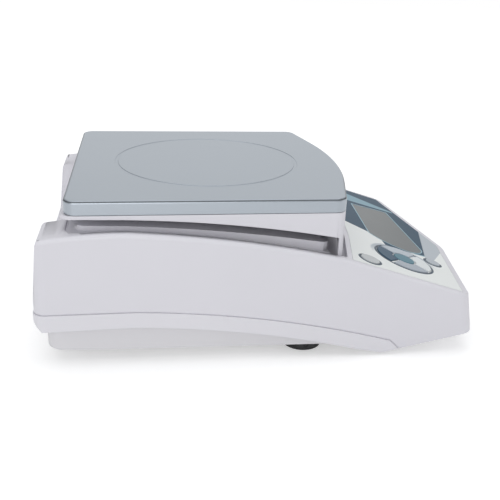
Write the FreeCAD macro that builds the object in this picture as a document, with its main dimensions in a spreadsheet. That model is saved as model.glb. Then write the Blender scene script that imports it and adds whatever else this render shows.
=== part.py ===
import FreeCAD, Part
import Sketcher
import math
import os
import re

# Laboratory balance: wedge-shaped casing, steel pan on a plastic carrier, sloping key panel.
# Millimetres. The operator stands at -Y and Z is up. Sizes along Y are laid out from a line across
# the casing; frame_shift then brings the origin under the middle of the bounding box.

SIZES = {
    # casing seen from above: straight sides, shallow V nose
    "casing_half": 103.5,
    "casing_back": 151.5,
    "casing_front": 141.0,
    "nose_slope": 0.2077,
    "casing_corner": 8.0,
    "nose_round": 25.0,
    "nose_lean": 10.6,
    "casing_wall": 2.8,
    # casing seen from the side: sloping panel, crowned top, leaning back wall
    "panel_front": 131.03,
    "panel_tilt": 17.745,
    "panel_back": 47.6,
    "top_rise": 3.0,
    "crest_y": 92.4,
    "crest_height": 90.2,
    "panel_drop": 46.9,
    "bay_drop": 40.2,
    "crest_rise": 1.2,
    "back_lean": 4.8,
    "back_drop": 4.0,
    "nose_under_y": 138.2,
    "nose_under_height": 15.0,
    "nose_tip_height": 16.7,
    "floor_step": 1.2,
    # seam between the upper housing and the lower shell
    "seam_back_height": 37.0,
    "seam_bend_y": 88.0,
    "seam_bend_height": 37.5,
    "seam_rise": 5.1,
    "seam_low_y": 80.4,
    "seam_low_height": 10.9,
    "seam_end_y": 87.2,
    "seam_end_height": 4.5,
    # lower shell: band under the seam, arched along its lower edge
    "shell_lip": 0.5,
    "arch_back_height": 31.7,
    "arch_heel_y": 146.5,
    "arch_heel_height": 25.6,
    "arch_bend_y": 88.0,
    "arch_bend_height": 27.1,
    "arch_front_y": 57.8,
    "arch_front_height": 5.4,
    "arch_rise": 4.0,
    "chin_y": 75.6,
    "chin_height": 2.1,
    "sill_y": 62.0,
    "sill_height": 7.0,
    # base tray set back under the lower shell
    "base_setback": 5.5,
    "base_back_setback": 6.5,
    "base_front": 70.0,
    "base_wall": 2.5,
    "base_front_height": 6.9,
    "base_back_height": 9.6,
    "base_corner": 10.0,
    "flange_drop": 4.0,
    "flange_thickness": 2.5,
    "flange_front_height": 9.8,
    "flange_rise": 4.7,
    # deck under the pan carrier, the moat round it and the well in front
    "moat_width": 9.5,
    "moat_back_width": 5.5,
    "deck_front_setback": 7.0,
    "deck_lift": 0.5,
    "deck_bend_y": 93.0,
    "deck_back_drop": 0.8,
    "deck_fall": 14.5,
    "deck_rise": 1.9,
    "deck_corner": 7.0,
    "rim_width": 6.0,
    "back_rim_width": 21.0,
    "moat_back_depth": 2.5,
    "moat_front_depth": 6.3,
    "moat_rise": 2.5,
    "moat_corner": 10.0,
    "well_gap": 2.2,
    "well_board_gap": 1.0,
    "spindle_hole_radius": 9.5,
    # bay at the back between the two corner lobes
    "lobe_width": 34.0,
    "bay_depth": 15.5,
    # weighing pan
    "pan_setback": 8.5,
    "pan_back_setback": 2.4,
    "pan_front": 45.0,
    "pan_slope": 0.22,
    "pan_nose_round": 250.0,
    "pan_corner": 8.0,
    "pan_depth": 9.0,
    "pan_rim_gap": 0.3,
    "pan_sheet": 1.0,
    "pan_edge_round": 1.8,
    "pan_centre_y": 36.0,
    "pan_ring_radius": 65.0,
    "pan_ring_width": 2.0,
    "pan_ring_depth": 0.3,
    # pan carrier
    "carrier_overhang": 2.5,
    "carrier_clearance": 6.0,
    "carrier_wall": 2.5,
    "skirt_back_depth": 2.3,
    "carrier_bend_y": 92.0,
    "skirt_bend_depth": 3.0,
    "skirt_front_depth": 17.1,
    "carrier_rise": 2.6,
    "apron_width": 3.0,
    "apron_gap": 5.5,
    "carrier_plate": 2.5,
    "post_radius": 8.0,
    "post_inset": 30.0,
    "post_front": 18.0,
    "post_back": 92.0,
    "bumper_height": 2.2,
    "bumper_radius": 5.5,
    "pan_seat_gap": 0.3,
    "socket_radius": 13.0,
    "socket_depth": 5.0,
    "socket_seat_depth": 4.2,
    # weigh cell and its parts
    "spindle_radius": 6.0,
    "running_fit": 0.05,
    "adapter_radius": 12.0,
    "adapter_rise": 13.0,
    "adapter_floor": 6.0,
    "spring_thickness": 1.2,
    "overload_gap": 0.8,
    "cell_half": 15.0,
    "cell_nose": 15.0,
    "cell_length": 91.0,
    "cell_thickness": 22.0,
    "cell_headroom": 8.2,
    "cell_bore_radius": 7.0,
    "cell_bore_start": 36.0,
    "cell_bore_spacing": 20.0,
    "cell_slot_half": 2.0,
    "cell_block_length": 26.0,
    "plate_half": 32.0,
    "plate_front_margin": 9.0,
    "plate_back_margin": 4.0,
    "plate_low_height": 14.0,
    "plate_thickness": 6.0,
    "plate_screw_x": 25.0,
    "plate_screw_inset": 8.0,
    "stop_radius": 4.0,
    "stop_gap": 0.3,
    # fasteners
    "cell_screw_radius": 2.5,
    "cell_screw_head": 4.2,
    "cell_screw_reach": 20.0,
    "plate_screw_radius": 2.0,
    "plate_screw_head": 3.6,
    "plate_screw_reach": 8.0,
    "screw_head_height": 2.6,
    "case_screw_radius": 2.0,
    "case_screw_head": 3.7,
    "case_screw_inset": 11.0,
    "case_screw_front": 22.0,
    "case_screw_back": 100.0,
    "case_screw_reach": 14.0,
    "case_boss_radius": 5.0,
    "case_boss_height": 14.0,
    "board_screw_radius": 1.5,
    "board_screw_head": 2.7,
    "board_screw_reach": 5.0,
    "board_head_height": 1.8,
    "board_boss_radius": 3.4,
    # feet
    "foot_inset": 18.0,
    "foot_y": 24.8,
    "pad_radius": 13.0,
    "pad_thickness": 2.6,
    "pad_hub_radius": 4.0,
    "pad_hub_rise": 2.4,
    "foot_gap": 0.3,
    "wheel_radius": 15.0,
    "wheel_thickness": 6.1,
    "wheel_notch_radius": 1.6,
    "stud_radius": 4.0,
    "stud_reach": 5.0,
    "foot_pocket_radius": 16.2,
    "foot_travel_room": 6.0,
    "insert_radius": 6.0,
    "insert_length": 13.0,
    "foot_boss_radius": 9.0,
    "heel_inset": 36.0,
    "heel_back_inset": 29.0,
    "heel_radius": 11.0,
    "heel_plug_radius": 4.0,
    # sloping panel, laid out along the slope from its front corner line
    "overlay_margin": 4.2,
    "overlay_front": 2.2,
    "overlay_slope": 0.218,
    "overlay_back": 84.1,
    "overlay_back_slope": 0.231,
    "overlay_wing": 45.6,
    "overlay_bend_rise": 6.1,
    "overlay_depth": 0.4,
    "overlay_thickness": 0.5,
    "panel_wall": 3.0,
    "lcd_low": 5.2,
    "lcd_low_gap": 36.7,
    "lcd_right_inset": 39.3,
    "lcd_high_inset": 45.3,
    "lcd_corner_gap": 43.0,
    "lcd_side_gap": 22.5,
    "lcd_high": 41.0,
    "lcd_corner_v": 48.5,
    "lcd_side_v": 23.0,
    "lcd_side_rise": 4.0,
    "lcd_turn_rise": 4.5,
    "module_margin": 2.5,
    "board_margin": 6.3,
    "board_low": 6.0,
    "board_high": 72.0,
    "board_depth": 7.4,
    "board_thickness": 1.6,
    "key_proud": 0.9,
    "key_fit": 0.35,
    "key_flange": 1.3,
    "key_flange_thickness": 1.0,
    "key_rest_gap": 0.3,
    "key_foot_depth": 5.1,
    "key_foot_radius": 2.0,
    "switch_height": 1.4,
    "switch_side": 6.0,
    "ring_inset": 34.3,
    "ring_v": 34.2,
    "ring_outer": 20.0,
    "ring_inner": 9.0,
    "ring_gap_angle": 3.5,
    "ring_centre": 7.6,
    "tare_radius": 6.6,
    "tare_inset": 11.1,
    "tare_v": 68.2,
    "power_radius": 5.4,
    "power_offset": 12.4,
    "power_v": 5.8,
    # boards, sockets and spirit level
    "main_inset": 19.0,
    "main_gap": 4.0,
    "main_front": 6.0,
    "main_back": 112.0,
    "main_height": 20.0,
    "io_inset": 9.5,
    "dc_inset": 20.0,
    "serial_inset": 32.0,
    "io_low_gap": 4.0,
    "io_rise": 26.0,
    "io_setback": 15.0,
    "io_screw_inset": 5.0,
    "io_screw_drop": 4.0,
    "socket_rise": 15.0,
    "dc_half": 7.0,
    "dc_bore": 3.2,
    "dc_pin": 1.0,
    "serial_half": 15.4,
    "serial_rise": 6.3,
    "serial_plug_half": 8.6,
    "serial_plug_rise": 4.2,
    "serial_reach": 5.6,
    "ribbon_inset": 13.0,
    "ribbon_width": 20.0,
    "ribbon_thickness": 0.6,
    "ribbon_turn": 70.0,
    "ribbon_rise": 7.7,
    "level_inset": 7.0,
    "level_radius": 6.5,
    "level_floor": 1.0,
    "level_depth": 5.0,
    "level_wall": 1.2,
    "level_glass_sink": 0.8,
    # small allowances and pieces of detail
    "cut_over": 1.0,
    "well_front_gap": 3.3,
    "deck_root": 1.0,
    "back_wall_extra": 1.0,
    "recess_clear": 5.0,
    "tip_room": 1.0,
    "board_screw_inset": 4.0,
    "panel_screw_drop": 22.0,
    "screw_tip_gap": 0.5,
    "seam_notch": 3.0,
    "post_root": 1.0,
    "insert_proud": 1.0,
    "cup_shift": 1.5,
    "cup_root": 1.6,
    "cup_wall": 1.5,
    "heel_bore_rise": 6.0,
    "heel_plug_rise": 3.0,
    "heel_seat_gap": 0.7,
    "screw_sink": 1.0,
    "boss_root": 0.5,
    "plate_boss_radius": 5.4,
    "cell_screw_inset": 5.0,
    "stop_inset": 6.0,
    "spring_gap": 0.2,
    "ring_flange_step": 1.0,
    "enter_flange": 0.9,
    "tongue_half": 12.0,
    "tongue_reach": 6.0,
    "tongue_lap": 1.0,
    "dc_well_depth": 10.0,
    "dc_pin_sink": 1.0,
    "serial_fit": 0.2,
    "serial_wall": 1.0,
    "serial_row": 1.4,
    "serial_pitch": 2.76,
    "serial_pin": 0.5,
    "ribbon_end": 6.0,
    "panel_screw_short": 1.7,
}

# Sizes that follow from others
LINKED = {
    "panel_edge_height": "crest_height - panel_drop",
    "bay_height": "crest_height - bay_drop",
    "moat_half": "casing_half - rim_width",
    "deck_half": "moat_half - moat_width",
    "pan_half": "casing_half - pan_setback",
    "base_half": "casing_half - base_setback",
    "bay_half": "casing_half - lobe_width",
    "overlay_half": "casing_half - overlay_margin",
    "overlay_bend_x": "overlay_half - overlay_wing",
    "board_half": "overlay_half - board_margin",
    "case_screw_x": "base_half - case_screw_inset",
    "foot_x": "base_half - foot_inset",
    "heel_x": "base_half - heel_inset",
    "main_left": "base_half - main_inset",
    "main_right": "plate_half + main_gap",
    "post_x": "pan_half - post_inset",
    "io_half": "bay_half - io_inset",
    "io_screw_x": "io_half - io_screw_inset",
    "ring_x": "overlay_half - ring_inset",
    "tare_x": "overlay_half - tare_inset",
    "power_x": "ring_x - power_offset",
    "ribbon_x": "main_left - ribbon_inset",
    "top_back_y": "casing_back - back_lean",
    "base_back": "casing_back - base_back_setback",
    "moat_back": "casing_back - back_rim_width",
    "deck_back": "moat_back - moat_back_width",
    "carrier_back": "moat_back + carrier_overhang",
    "pan_back": "carrier_back - pan_back_setback",
    "bay_front": "casing_back - bay_depth",
    "io_front": "bay_front - io_setback",
    "level_y": "bay_front + level_inset",
    "heel_y": "base_back - heel_back_inset",
    "deck_front": "pan_front - deck_front_setback",
    "carrier_bend_front": "pan_front - apron_width",
    "cell_front": "pan_centre_y - cell_nose",
    "cell_back": "cell_front + cell_length",
    "cell_bore_front": "cell_front + cell_bore_start",
    "cell_bore_back": "cell_bore_front + cell_bore_spacing",
    "cell_block_front": "cell_back - cell_block_length",
    "plate_front": "cell_front - plate_front_margin",
    "plate_back": "cell_back + plate_back_margin",
    "top_back_height": "crest_height - back_drop",
    "deck_back_height": "crest_height + deck_lift",
    "deck_bend_height": "deck_back_height - deck_back_drop",
    "deck_front_height": "deck_back_height - deck_fall",
    "moat_bend_height": "deck_bend_height - moat_back_depth",
    "moat_front_height": "deck_front_height - moat_front_depth",
    "carrier_top_height": "deck_back_height + carrier_clearance + carrier_plate",
    "carrier_back_height": "carrier_top_height - skirt_back_depth",
    "carrier_bend_height": "carrier_top_height - skirt_bend_depth",
    "carrier_front_height": "carrier_top_height - skirt_front_depth",
    "pan_rim_height": "carrier_top_height + pan_rim_gap",
    "pan_top_height": "pan_rim_height + pan_depth",
    "post_height": "pan_top_height - pan_sheet - pan_seat_gap - bumper_height",
    "socket_seat_height": "carrier_top_height - socket_seat_depth",
    "cell_top_height": "deck_front_height - cell_headroom",
    "cell_low_height": "cell_top_height - cell_thickness",
    "adapter_height": "cell_top_height + adapter_rise",
    "adapter_floor_height": "cell_top_height + adapter_floor",
    "spring_height": "adapter_floor_height + spring_thickness",
    "spindle_end_height": "spring_height + overload_gap",
    "plate_top_height": "plate_low_height + plate_thickness",
    "wheel_height": "pad_thickness + foot_gap + wheel_thickness",
    "pad_hub_height": "pad_thickness + pad_hub_rise",
    "foot_pocket_height": "wheel_height + foot_travel_room",
    "insert_height": "foot_pocket_height + insert_length",
    "stud_height": "insert_height + stud_reach",
    "io_low": "bay_height + io_low_gap",
    "io_high": "io_low + io_rise",
    "io_screw_height": "io_high - io_screw_drop",
    "socket_height": "bay_height + socket_rise",
    "level_height": "bay_height + level_floor + level_depth",
    "level_glass_height": "level_height - level_glass_sink",
    "ribbon_top": "panel_edge_height + ribbon_rise",
    "lcd_low_left": "ring_x - lcd_low_gap",
    "lcd_side_x": "ring_x - lcd_side_gap",
    "lcd_corner_x": "ring_x - lcd_corner_gap",
    "lcd_low_right": "overlay_half - lcd_right_inset",
    "lcd_high_right": "overlay_half - lcd_high_inset",
    "well_height": ("panel_edge_height + board_high * sin(panel_tilt) - board_depth * cos(panel_tilt)"
                    " + casing_wall + well_board_gap"),
    "apron_height": "well_height + apron_gap",
    "dc_x": "io_half - dc_inset",
    "serial_x": "io_half - serial_inset",
    "nose_reach": ("casing_front + nose_slope * casing_half - nose_round * (sqrt(1 + nose_slope ^ 2) - 1)"
                   " - nose_tip_height * tan(nose_lean)"),
    "frame_shift": "(nose_reach - casing_back - shell_lip) / 2",
}

doc = FreeCAD.newDocument("laboratory_balance")
sheet = doc.addObject("Spreadsheet::Sheet", "sizes")
for row, (size_name, size_value) in enumerate(SIZES.items(), start=1):
    sheet.set(f"A{row}", str(size_value))
    sheet.setAlias(f"A{row}", size_name)
for row, (size_name, rule) in enumerate(LINKED.items(), start=len(SIZES) + 1):
    sheet.set(f"A{row}", "=" + rule)
    sheet.setAlias(f"A{row}", size_name)
doc.recompute()

nodes = []


def full(text):
    """Point every size name in an expression at the sheet."""
    return re.sub(r"\b[a-z]+(?:_[a-z0-9]+)+\b", r"sizes.\g<0>", str(text))


def number(text):
    """Present value of an expression."""
    return float(sheet.evalExpression(full(text)))


def bind(item, prop, text):
    """Tie a property to an expression of the sheet's sizes."""
    item.setExpression(prop, full(text))


def node(label, item):
    """Name a finished sub-part."""
    item.Label = label
    nodes.append(item)
    return item


def draw_outline(sketch, points):
    """Closed outline; a third entry bulges the edge that leaves a point to its left."""
    corners = [FreeCAD.Vector(number(p[0]), number(p[1]), 0) for p in points]
    ends = []
    for i, point in enumerate(points):
        start = corners[i]
        end = corners[(i + 1) % len(corners)]
        if len(point) == 2:
            edge = sketch.addGeometry(Part.LineSegment(start, end))
            ends.append((edge, 1, 2))
            continue
        rise = number(point[2])
        chord = end - start
        left = FreeCAD.Vector(-chord.y, chord.x, 0).normalize()
        radius = chord.Length ** 2 / (8 * abs(rise)) + abs(rise) / 2
        side = math.copysign(1, rise)
        centre = (start + end) * 0.5 - left * side * (radius - abs(rise))
        first, last = (end, start) if rise > 0 else (start, end)
        turn_first = math.atan2(first.y - centre.y, first.x - centre.x)
        turn_last = math.atan2(last.y - centre.y, last.x - centre.x)
        circle = Part.Circle(centre, FreeCAD.Vector(0, 0, 1), radius)
        edge = sketch.addGeometry(Part.ArcOfCircle(circle, turn_first, turn_last))
        ends.append((edge, 2, 1) if rise > 0 else (edge, 1, 2))
        following = points[(i + 1) % len(points)]
        run = f"(({following[0]}) - ({point[0]}))"
        climb = f"(({following[1]}) - ({point[1]}))"
        text = f"({run}^2 + {climb}^2) / (8 * abs({point[2]})) + abs({point[2]}) / 2"
        rule = sketch.addConstraint(Sketcher.Constraint("Radius", edge, radius))
        bind(sketch, f"Constraints[{rule}]", text)
    for i, (edge, _, end_mark) in enumerate(ends):
        following = ends[(i + 1) % len(ends)]
        sketch.addConstraint(Sketcher.Constraint("Coincident", edge, end_mark, following[0], following[1]))
    for (edge, mark, _), corner, point in zip(ends, corners, points):
        across = sketch.addConstraint(Sketcher.Constraint("DistanceX", -1, 1, edge, mark, corner.x))
        bind(sketch, f"Constraints[{across}]", point[0])
        along = sketch.addConstraint(Sketcher.Constraint("DistanceY", -1, 1, edge, mark, corner.y))
        bind(sketch, f"Constraints[{along}]", point[1])


def draw_circle(sketch, x, y, radius):
    """Circle placed by its centre."""
    centre = FreeCAD.Vector(number(x), number(y), 0)
    circle = sketch.addGeometry(Part.Circle(centre, FreeCAD.Vector(0, 0, 1), number(radius)))
    rule = sketch.addConstraint(Sketcher.Constraint("Radius", circle, number(radius)))
    bind(sketch, f"Constraints[{rule}]", radius)
    across = sketch.addConstraint(Sketcher.Constraint("DistanceX", -1, 1, circle, 3, centre.x))
    bind(sketch, f"Constraints[{across}]", x)
    along = sketch.addConstraint(Sketcher.Constraint("DistanceY", -1, 1, circle, 3, centre.y))
    bind(sketch, f"Constraints[{along}]", y)


def prism(name, plane, outlines, low, high):
    """Body padded from one plane: XY runs along Z, YZ along X, XZ along Y."""
    body = doc.addObject("PartDesign::Body", name)
    support = [o for o in body.Origin.OriginFeatures if o.Role == plane + "_Plane"][0]
    sketch = body.newObject("Sketcher::SketchObject", name + "_outline")
    sketch.AttachmentSupport = [(support, "")]
    sketch.MapMode = "FlatFace"
    start = f"-({high})" if plane == "XZ" else low
    bind(sketch, "AttachmentOffset.Base.z", start)
    for outline in outlines:
        if outline[0] == "circle":
            draw_circle(sketch, *outline[1:])
        else:
            draw_outline(sketch, outline)
    pad = body.newObject("PartDesign::Pad", name + "_pad")
    pad.Profile = sketch
    bind(pad, "Length", f"({high}) - ({low})")
    sketch.Visibility = False
    doc.recompute()
    return body


def round_uprights(body, spots, radius):
    """Round the edges that run up from the given places."""
    last = body.Tip
    places = [(number(x), number(y)) for x, y in spots]
    chosen = []
    for i, edge in enumerate(last.Shape.Edges, start=1):
        marks = [v.Point for v in edge.Vertexes]
        if len(marks) < 2 or abs(marks[0].z - marks[1].z) < 0.01:
            continue
        for x, y in places:
            if any(math.hypot(mark.x - x, mark.y - y) < 0.01 for mark in marks):
                chosen.append(f"Edge{i}")
    rounding = body.newObject("PartDesign::Fillet", body.Name + "_round")
    rounding.Base = (last, chosen)
    bind(rounding, "Radius", radius)
    doc.recompute()


def nosed_points(half, back, front, slope):
    """Plan of a rectangle whose front edge is a shallow V."""
    return [(half, f"-({front})"), (half, back), (f"-({half})", back), (f"-({half})", f"-({front})"),
            ("0", f"-({front}) - ({slope}) * ({half})")]


def lean_nose(body, angle):
    """Tilt the two nose faces back about the floor plane."""
    last = body.Tip
    chosen = [f"Face{i}" for i, face in enumerate(last.Shape.Faces, start=1)
              if face.normalAt(0, 0).y < -0.5]
    floor = [o for o in body.Origin.OriginFeatures if o.Role == "XY_Plane"][0]
    lean = body.newObject("PartDesign::Draft", body.Name + "_lean")
    lean.Base = (last, chosen)
    lean.NeutralPlane = (floor, [""])
    bind(lean, "Angle", angle)
    doc.recompute()


def nosed_prism(name, half, back, front, slope, corner, nose, low, high, lean=None):
    """Prism on the V-nosed plan with rounded corners and nose; the nose can lean back."""
    points = nosed_points(half, back, front, slope)
    body = prism(name, "XY", [points], low, high)
    if lean:
        lean_nose(body, lean)
    round_uprights(body, points[:4], corner)
    round_uprights(body, points[4:], nose)
    return body


def rounded_prism(name, half, back, front, corner, low, high):
    """Upright prism on a rectangle with rounded corners."""
    points = nosed_points(half, back, front, "0")[:4]
    body = prism(name, "XY", [points], low, high)
    round_uprights(body, points, corner)
    return body


def inset(half, back, front, slope, gap):
    """Sizes of the V-nosed plan moved inward by a gap."""
    shift = f"({gap}) * (sqrt(1 + ({slope})^2) - ({slope}))"
    return f"({half}) - ({gap})", f"({back}) - ({gap})", f"({front}) - {shift}", slope


def block(name, x0, x1, y0, y1, z0, z1):
    """Rectangular block between three pairs of coordinates."""
    item = doc.addObject("Part::Box", name)
    bind(item, "Length", f"({x1}) - ({x0})")
    bind(item, "Width", f"({y1}) - ({y0})")
    bind(item, "Height", f"({z1}) - ({z0})")
    bind(item, "Placement.Base.x", x0)
    bind(item, "Placement.Base.y", y0)
    bind(item, "Placement.Base.z", z0)
    return item


def rod(name, x, y, low, high, radius, axis="Z"):
    """Cylinder along one axis; x and y are its place across that axis."""
    item = doc.addObject("Part::Cylinder", name)
    bind(item, "Radius", radius)
    bind(item, "Height", f"({high}) - ({low})")
    if axis == "Z":
        spot = (x, y, low)
    elif axis == "X":
        item.Placement = FreeCAD.Placement(FreeCAD.Vector(), FreeCAD.Rotation(FreeCAD.Vector(0, 1, 0), 90))
        spot = (low, x, y)
    else:
        item.Placement = FreeCAD.Placement(FreeCAD.Vector(), FreeCAD.Rotation(FreeCAD.Vector(1, 0, 0), -90))
        spot = (x, low, y)
    for letter, text in zip("xyz", spot):
        bind(item, f"Placement.Base.{letter}", text)
    return item


def fuse(name, *items):
    """Union of several solids."""
    joined = doc.addObject("Part::MultiFuse", name)
    joined.Shapes = list(items)
    doc.recompute()
    return joined


def common(name, *items):
    """Overlap of several solids."""
    shared = doc.addObject("Part::MultiCommon", name)
    shared.Shapes = list(items)
    doc.recompute()
    return shared


def cut(name, base, *tools):
    """First solid less the others."""
    less = doc.addObject("Part::Cut", name)
    less.Base = base
    less.Tool = tools[0] if len(tools) == 1 else fuse(name + "_tools", *tools)
    doc.recompute()
    return less


def group(name, *items):
    """Several separate solids kept as one sub-part."""
    kept = doc.addObject("Part::Compound", name)
    kept.Links = list(items)
    doc.recompute()
    return kept


def on_panel(item):
    """Lay a body drawn flat onto the sloping panel."""
    item.Placement = FreeCAD.Placement(FreeCAD.Vector(), FreeCAD.Rotation(FreeCAD.Vector(1, 0, 0), 1))
    bind(item, "Placement.Rotation.Angle", "panel_tilt")
    bind(item, "Placement.Base.y", "-panel_front")
    bind(item, "Placement.Base.z", "panel_edge_height")
    doc.recompute()
    return item


def screw(name, x, y, head_low, head_radius, head_height, radius, reach, up=True):
    """Screw along Z: the shank leaves the head upward or downward."""
    top = f"({head_low}) + ({head_height})"
    head = rod(name + "_head", x, y, head_low, top, head_radius)
    if up:
        shank = rod(name + "_shank", x, y, head_low, f"{top} + ({reach})", radius)
    else:
        shank = rod(name + "_shank", x, y, f"({head_low}) - ({reach})", top, radius)
    return fuse(name, head, shank)


def panel_height(y):
    """Height of the sloping panel above a place on the Y axis."""
    return f"panel_edge_height + tan(panel_tilt) * (({y}) + panel_front)"


SIDES = (("left", "-"), ("right", ""))

NOSE_Y = "-(casing_front + nose_slope * casing_half)"
CASING = ("casing_half", "casing_back", "casing_front", "nose_slope")
SHELL = ("casing_half + shell_lip", "casing_back + shell_lip", "casing_front", "nose_slope")

# Casing blank: side view crossed with plan view
seam_line = [
    ("-seam_end_y", "seam_end_height"),
    ("-seam_low_y", "seam_low_height", "seam_rise"),
    ("seam_bend_y", "seam_bend_height"),
]
upper_side = seam_line + [
    ("casing_back + shell_lip", "seam_back_height"),
    ("top_back_y", "top_back_height", "-crest_rise"),
    ("crest_y", "crest_height", "-top_rise"),
    ("-panel_back", panel_height("-panel_back")),
    (NOSE_Y, panel_height(NOSE_Y)),
    (NOSE_Y, "nose_tip_height"),
    ("-nose_under_y", "nose_under_height"),
]
side_blank = prism("upper_side", "YZ", [upper_side], "-casing_half", "casing_half")
plan_blank = nosed_prism("upper_plan", *CASING, "casing_corner", "nose_round", "0", "pan_top_height",
                         "nose_lean")
blank = common("casing_blank", side_blank, plan_blank)


# Ground under the pan carrier: moat and well cut down, deck built up
moat_side = [
    ("moat_back", "moat_bend_height"),
    ("moat_back", "pan_top_height"),
    (NOSE_Y, "pan_top_height"),
    (NOSE_Y, "moat_front_height"),
    ("-deck_front", "moat_front_height", "moat_rise"),
    ("deck_bend_y", "moat_bend_height"),
]
moat_cut = common(
    "moat_cut",
    prism("moat_side", "YZ", [moat_side], "-moat_half", "moat_half"),
    rounded_prism("moat_plan", "moat_half", "moat_back", "deck_front + moat_corner", "moat_corner",
                  "well_height", "pan_top_height + cut_over"),
)
well_front = "pan_front + well_front_gap - pan_slope * (moat_half - pan_half)"
well_cut = nosed_prism("well_cut", "moat_half", "-deck_front", well_front, "pan_slope", "well_gap",
                       "pan_nose_round", "well_height", "pan_top_height")
deck_side = [
    ("-deck_front", "moat_front_height - deck_root", "moat_rise"),
    ("deck_bend_y", "moat_bend_height - deck_root"),
    ("deck_back", "moat_bend_height - deck_root"),
    ("deck_back", "deck_back_height"),
    ("deck_bend_y", "deck_bend_height", "-deck_rise"),
    ("-deck_front", "deck_front_height"),
]
deck_plan = rounded_prism("deck_plan", "deck_half", "deck_back", "deck_front", "deck_corner",
                          "well_height", "pan_top_height")
deck = common("deck", prism("deck_side", "YZ", [deck_side], "-deck_half", "deck_half"), deck_plan)

# Hollow inside the casing
inner_side = [
    ("-seam_end_y + floor_step", "0"),
    ("casing_back", "0"),
    ("casing_back", "seam_back_height"),
    ("top_back_y - casing_wall", "top_back_height - casing_wall - back_wall_extra"),
    ("deck_bend_y", "moat_bend_height - casing_wall", "-moat_rise"),
    ("-deck_front + casing_wall", "moat_front_height - casing_wall"),
    ("-panel_back", panel_height("-panel_back") + " - panel_wall / cos(panel_tilt)"),
    (NOSE_Y, panel_height(NOSE_Y) + " - panel_wall / cos(panel_tilt)"),
    (NOSE_Y, "nose_tip_height + casing_wall"),
    ("-nose_under_y", "nose_under_height + casing_wall"),
    ("-seam_end_y + floor_step", "seam_end_height + casing_wall"),
]
inner_plan = nosed_prism("inner_plan", *inset(*CASING, "casing_wall"), "casing_corner - casing_wall",
                         "nose_round - casing_wall", "0", "pan_top_height", "nose_lean")
bay_shell = block("bay_shell", "-bay_half - casing_wall", "bay_half + casing_wall",
                  "bay_front - casing_wall",
                  "casing_back + cut_over", "bay_height - casing_wall", "pan_top_height")
well_shell = nosed_prism("well_shell", "casing_half", "-deck_front + casing_wall",
                         f"{well_front} + casing_wall - pan_slope * (casing_half - moat_half)", "pan_slope",
                         "well_gap", "pan_nose_round", "well_height - casing_wall", "pan_top_height")
inner = cut("inner", common("inner_blank", prism("inner_side", "YZ", [inner_side], "-casing_half",
                                                 "casing_half"), inner_plan), bay_shell, well_shell)
deck_room_side = [
    ("deck_back - casing_wall", "well_height - casing_wall"),
    ("deck_back - casing_wall", "deck_back_height - casing_wall"),
    ("deck_bend_y", "deck_bend_height - casing_wall", "-deck_rise"),
    ("-deck_front + casing_wall", "deck_front_height - casing_wall"),
    ("-deck_front + casing_wall", "well_height - casing_wall"),
]
deck_room = prism("deck_room", "YZ", [deck_room_side], "-deck_half + casing_wall",
                  "deck_half - casing_wall")

# Sloping panel: recess for the overlay, openings for the window and the keys
OVERLAY = ("overlay_half", "overlay_back", "overlay_front", "overlay_slope")
lcd_outline = [
    ("-lcd_low_left", "lcd_low"),
    ("lcd_low_right", "lcd_low"),
    ("lcd_high_right", "lcd_high"),
    ("-lcd_corner_x", "lcd_corner_v", "-lcd_side_rise"),
    ("-lcd_side_x", "lcd_side_v", "-lcd_turn_rise"),
]


def overlay_outline(gap):
    """Overlay outline pulled in by a gap: shallow V in front, V with a round middle behind."""
    half = f"overlay_half - ({gap})"
    low = f"overlay_front + ({gap})"
    high = f"overlay_back - ({gap})"
    bend = f"{high} - overlay_back_slope * (overlay_half - overlay_bend_x)"
    return [(half, low), (half, high), ("overlay_bend_x", bend, "overlay_bend_rise"),
            ("-overlay_bend_x", bend), (f"-({half})", high), (f"-({half})", low),
            ("0", f"{low} - overlay_slope * overlay_half")]


def ring_sector(middle, radius_in, radius_out, margin):
    """Outline of one arrow key: a quarter of the key ring."""
    half_turn = f"(45 - ring_gap_angle * ({margin}))"
    spots = []
    for radius, turn in ((radius_out, f"{middle} - {half_turn}"), (radius_out, f"{middle} + {half_turn}"),
                         (radius_in, f"{middle} + {half_turn}"), (radius_in, f"{middle} - {half_turn}")):
        spots.append((f"-ring_x + ({radius}) * cos({turn})", f"ring_v + ({radius}) * sin({turn})"))
    outer_rise = f"-({radius_out}) * (1 - cos({half_turn}))"
    inner_rise = f"({radius_in}) * (1 - cos({half_turn}))"
    return [spots[0] + (outer_rise,), spots[1], spots[2] + (inner_rise,), spots[3]]


ARROWS = (("right", 0), ("up", 90), ("left", 180), ("down", 270))
ROUNDS = (("enter", "-ring_x", "ring_v", "ring_centre"),
          ("tare", "-tare_x", "tare_v", "tare_radius"),
          ("power", "-power_x", "power_v", "power_radius"))


def key_openings(grow):
    """Openings round every key."""
    shapes = []
    for _, middle in ARROWS:
        shapes.append(ring_sector(middle, f"ring_inner - {grow}", f"ring_outer + {grow}", "0.55"))
    for _, x, v, radius in ROUNDS:
        shapes.append(("circle", x, v, f"{radius} + {grow}"))
    return shapes


recess = on_panel(prism("overlay_recess", "XY", [overlay_outline("-key_fit")], "-overlay_depth",
                        "overlay_depth + recess_clear"))
key_cuts = []
for i, shape in enumerate([lcd_outline] + key_openings("key_fit")):
    key_cuts.append(on_panel(prism(f"panel_opening_{i}", "XY", [shape], "-panel_wall - cut_over",
                                   "cut_over")))

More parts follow.
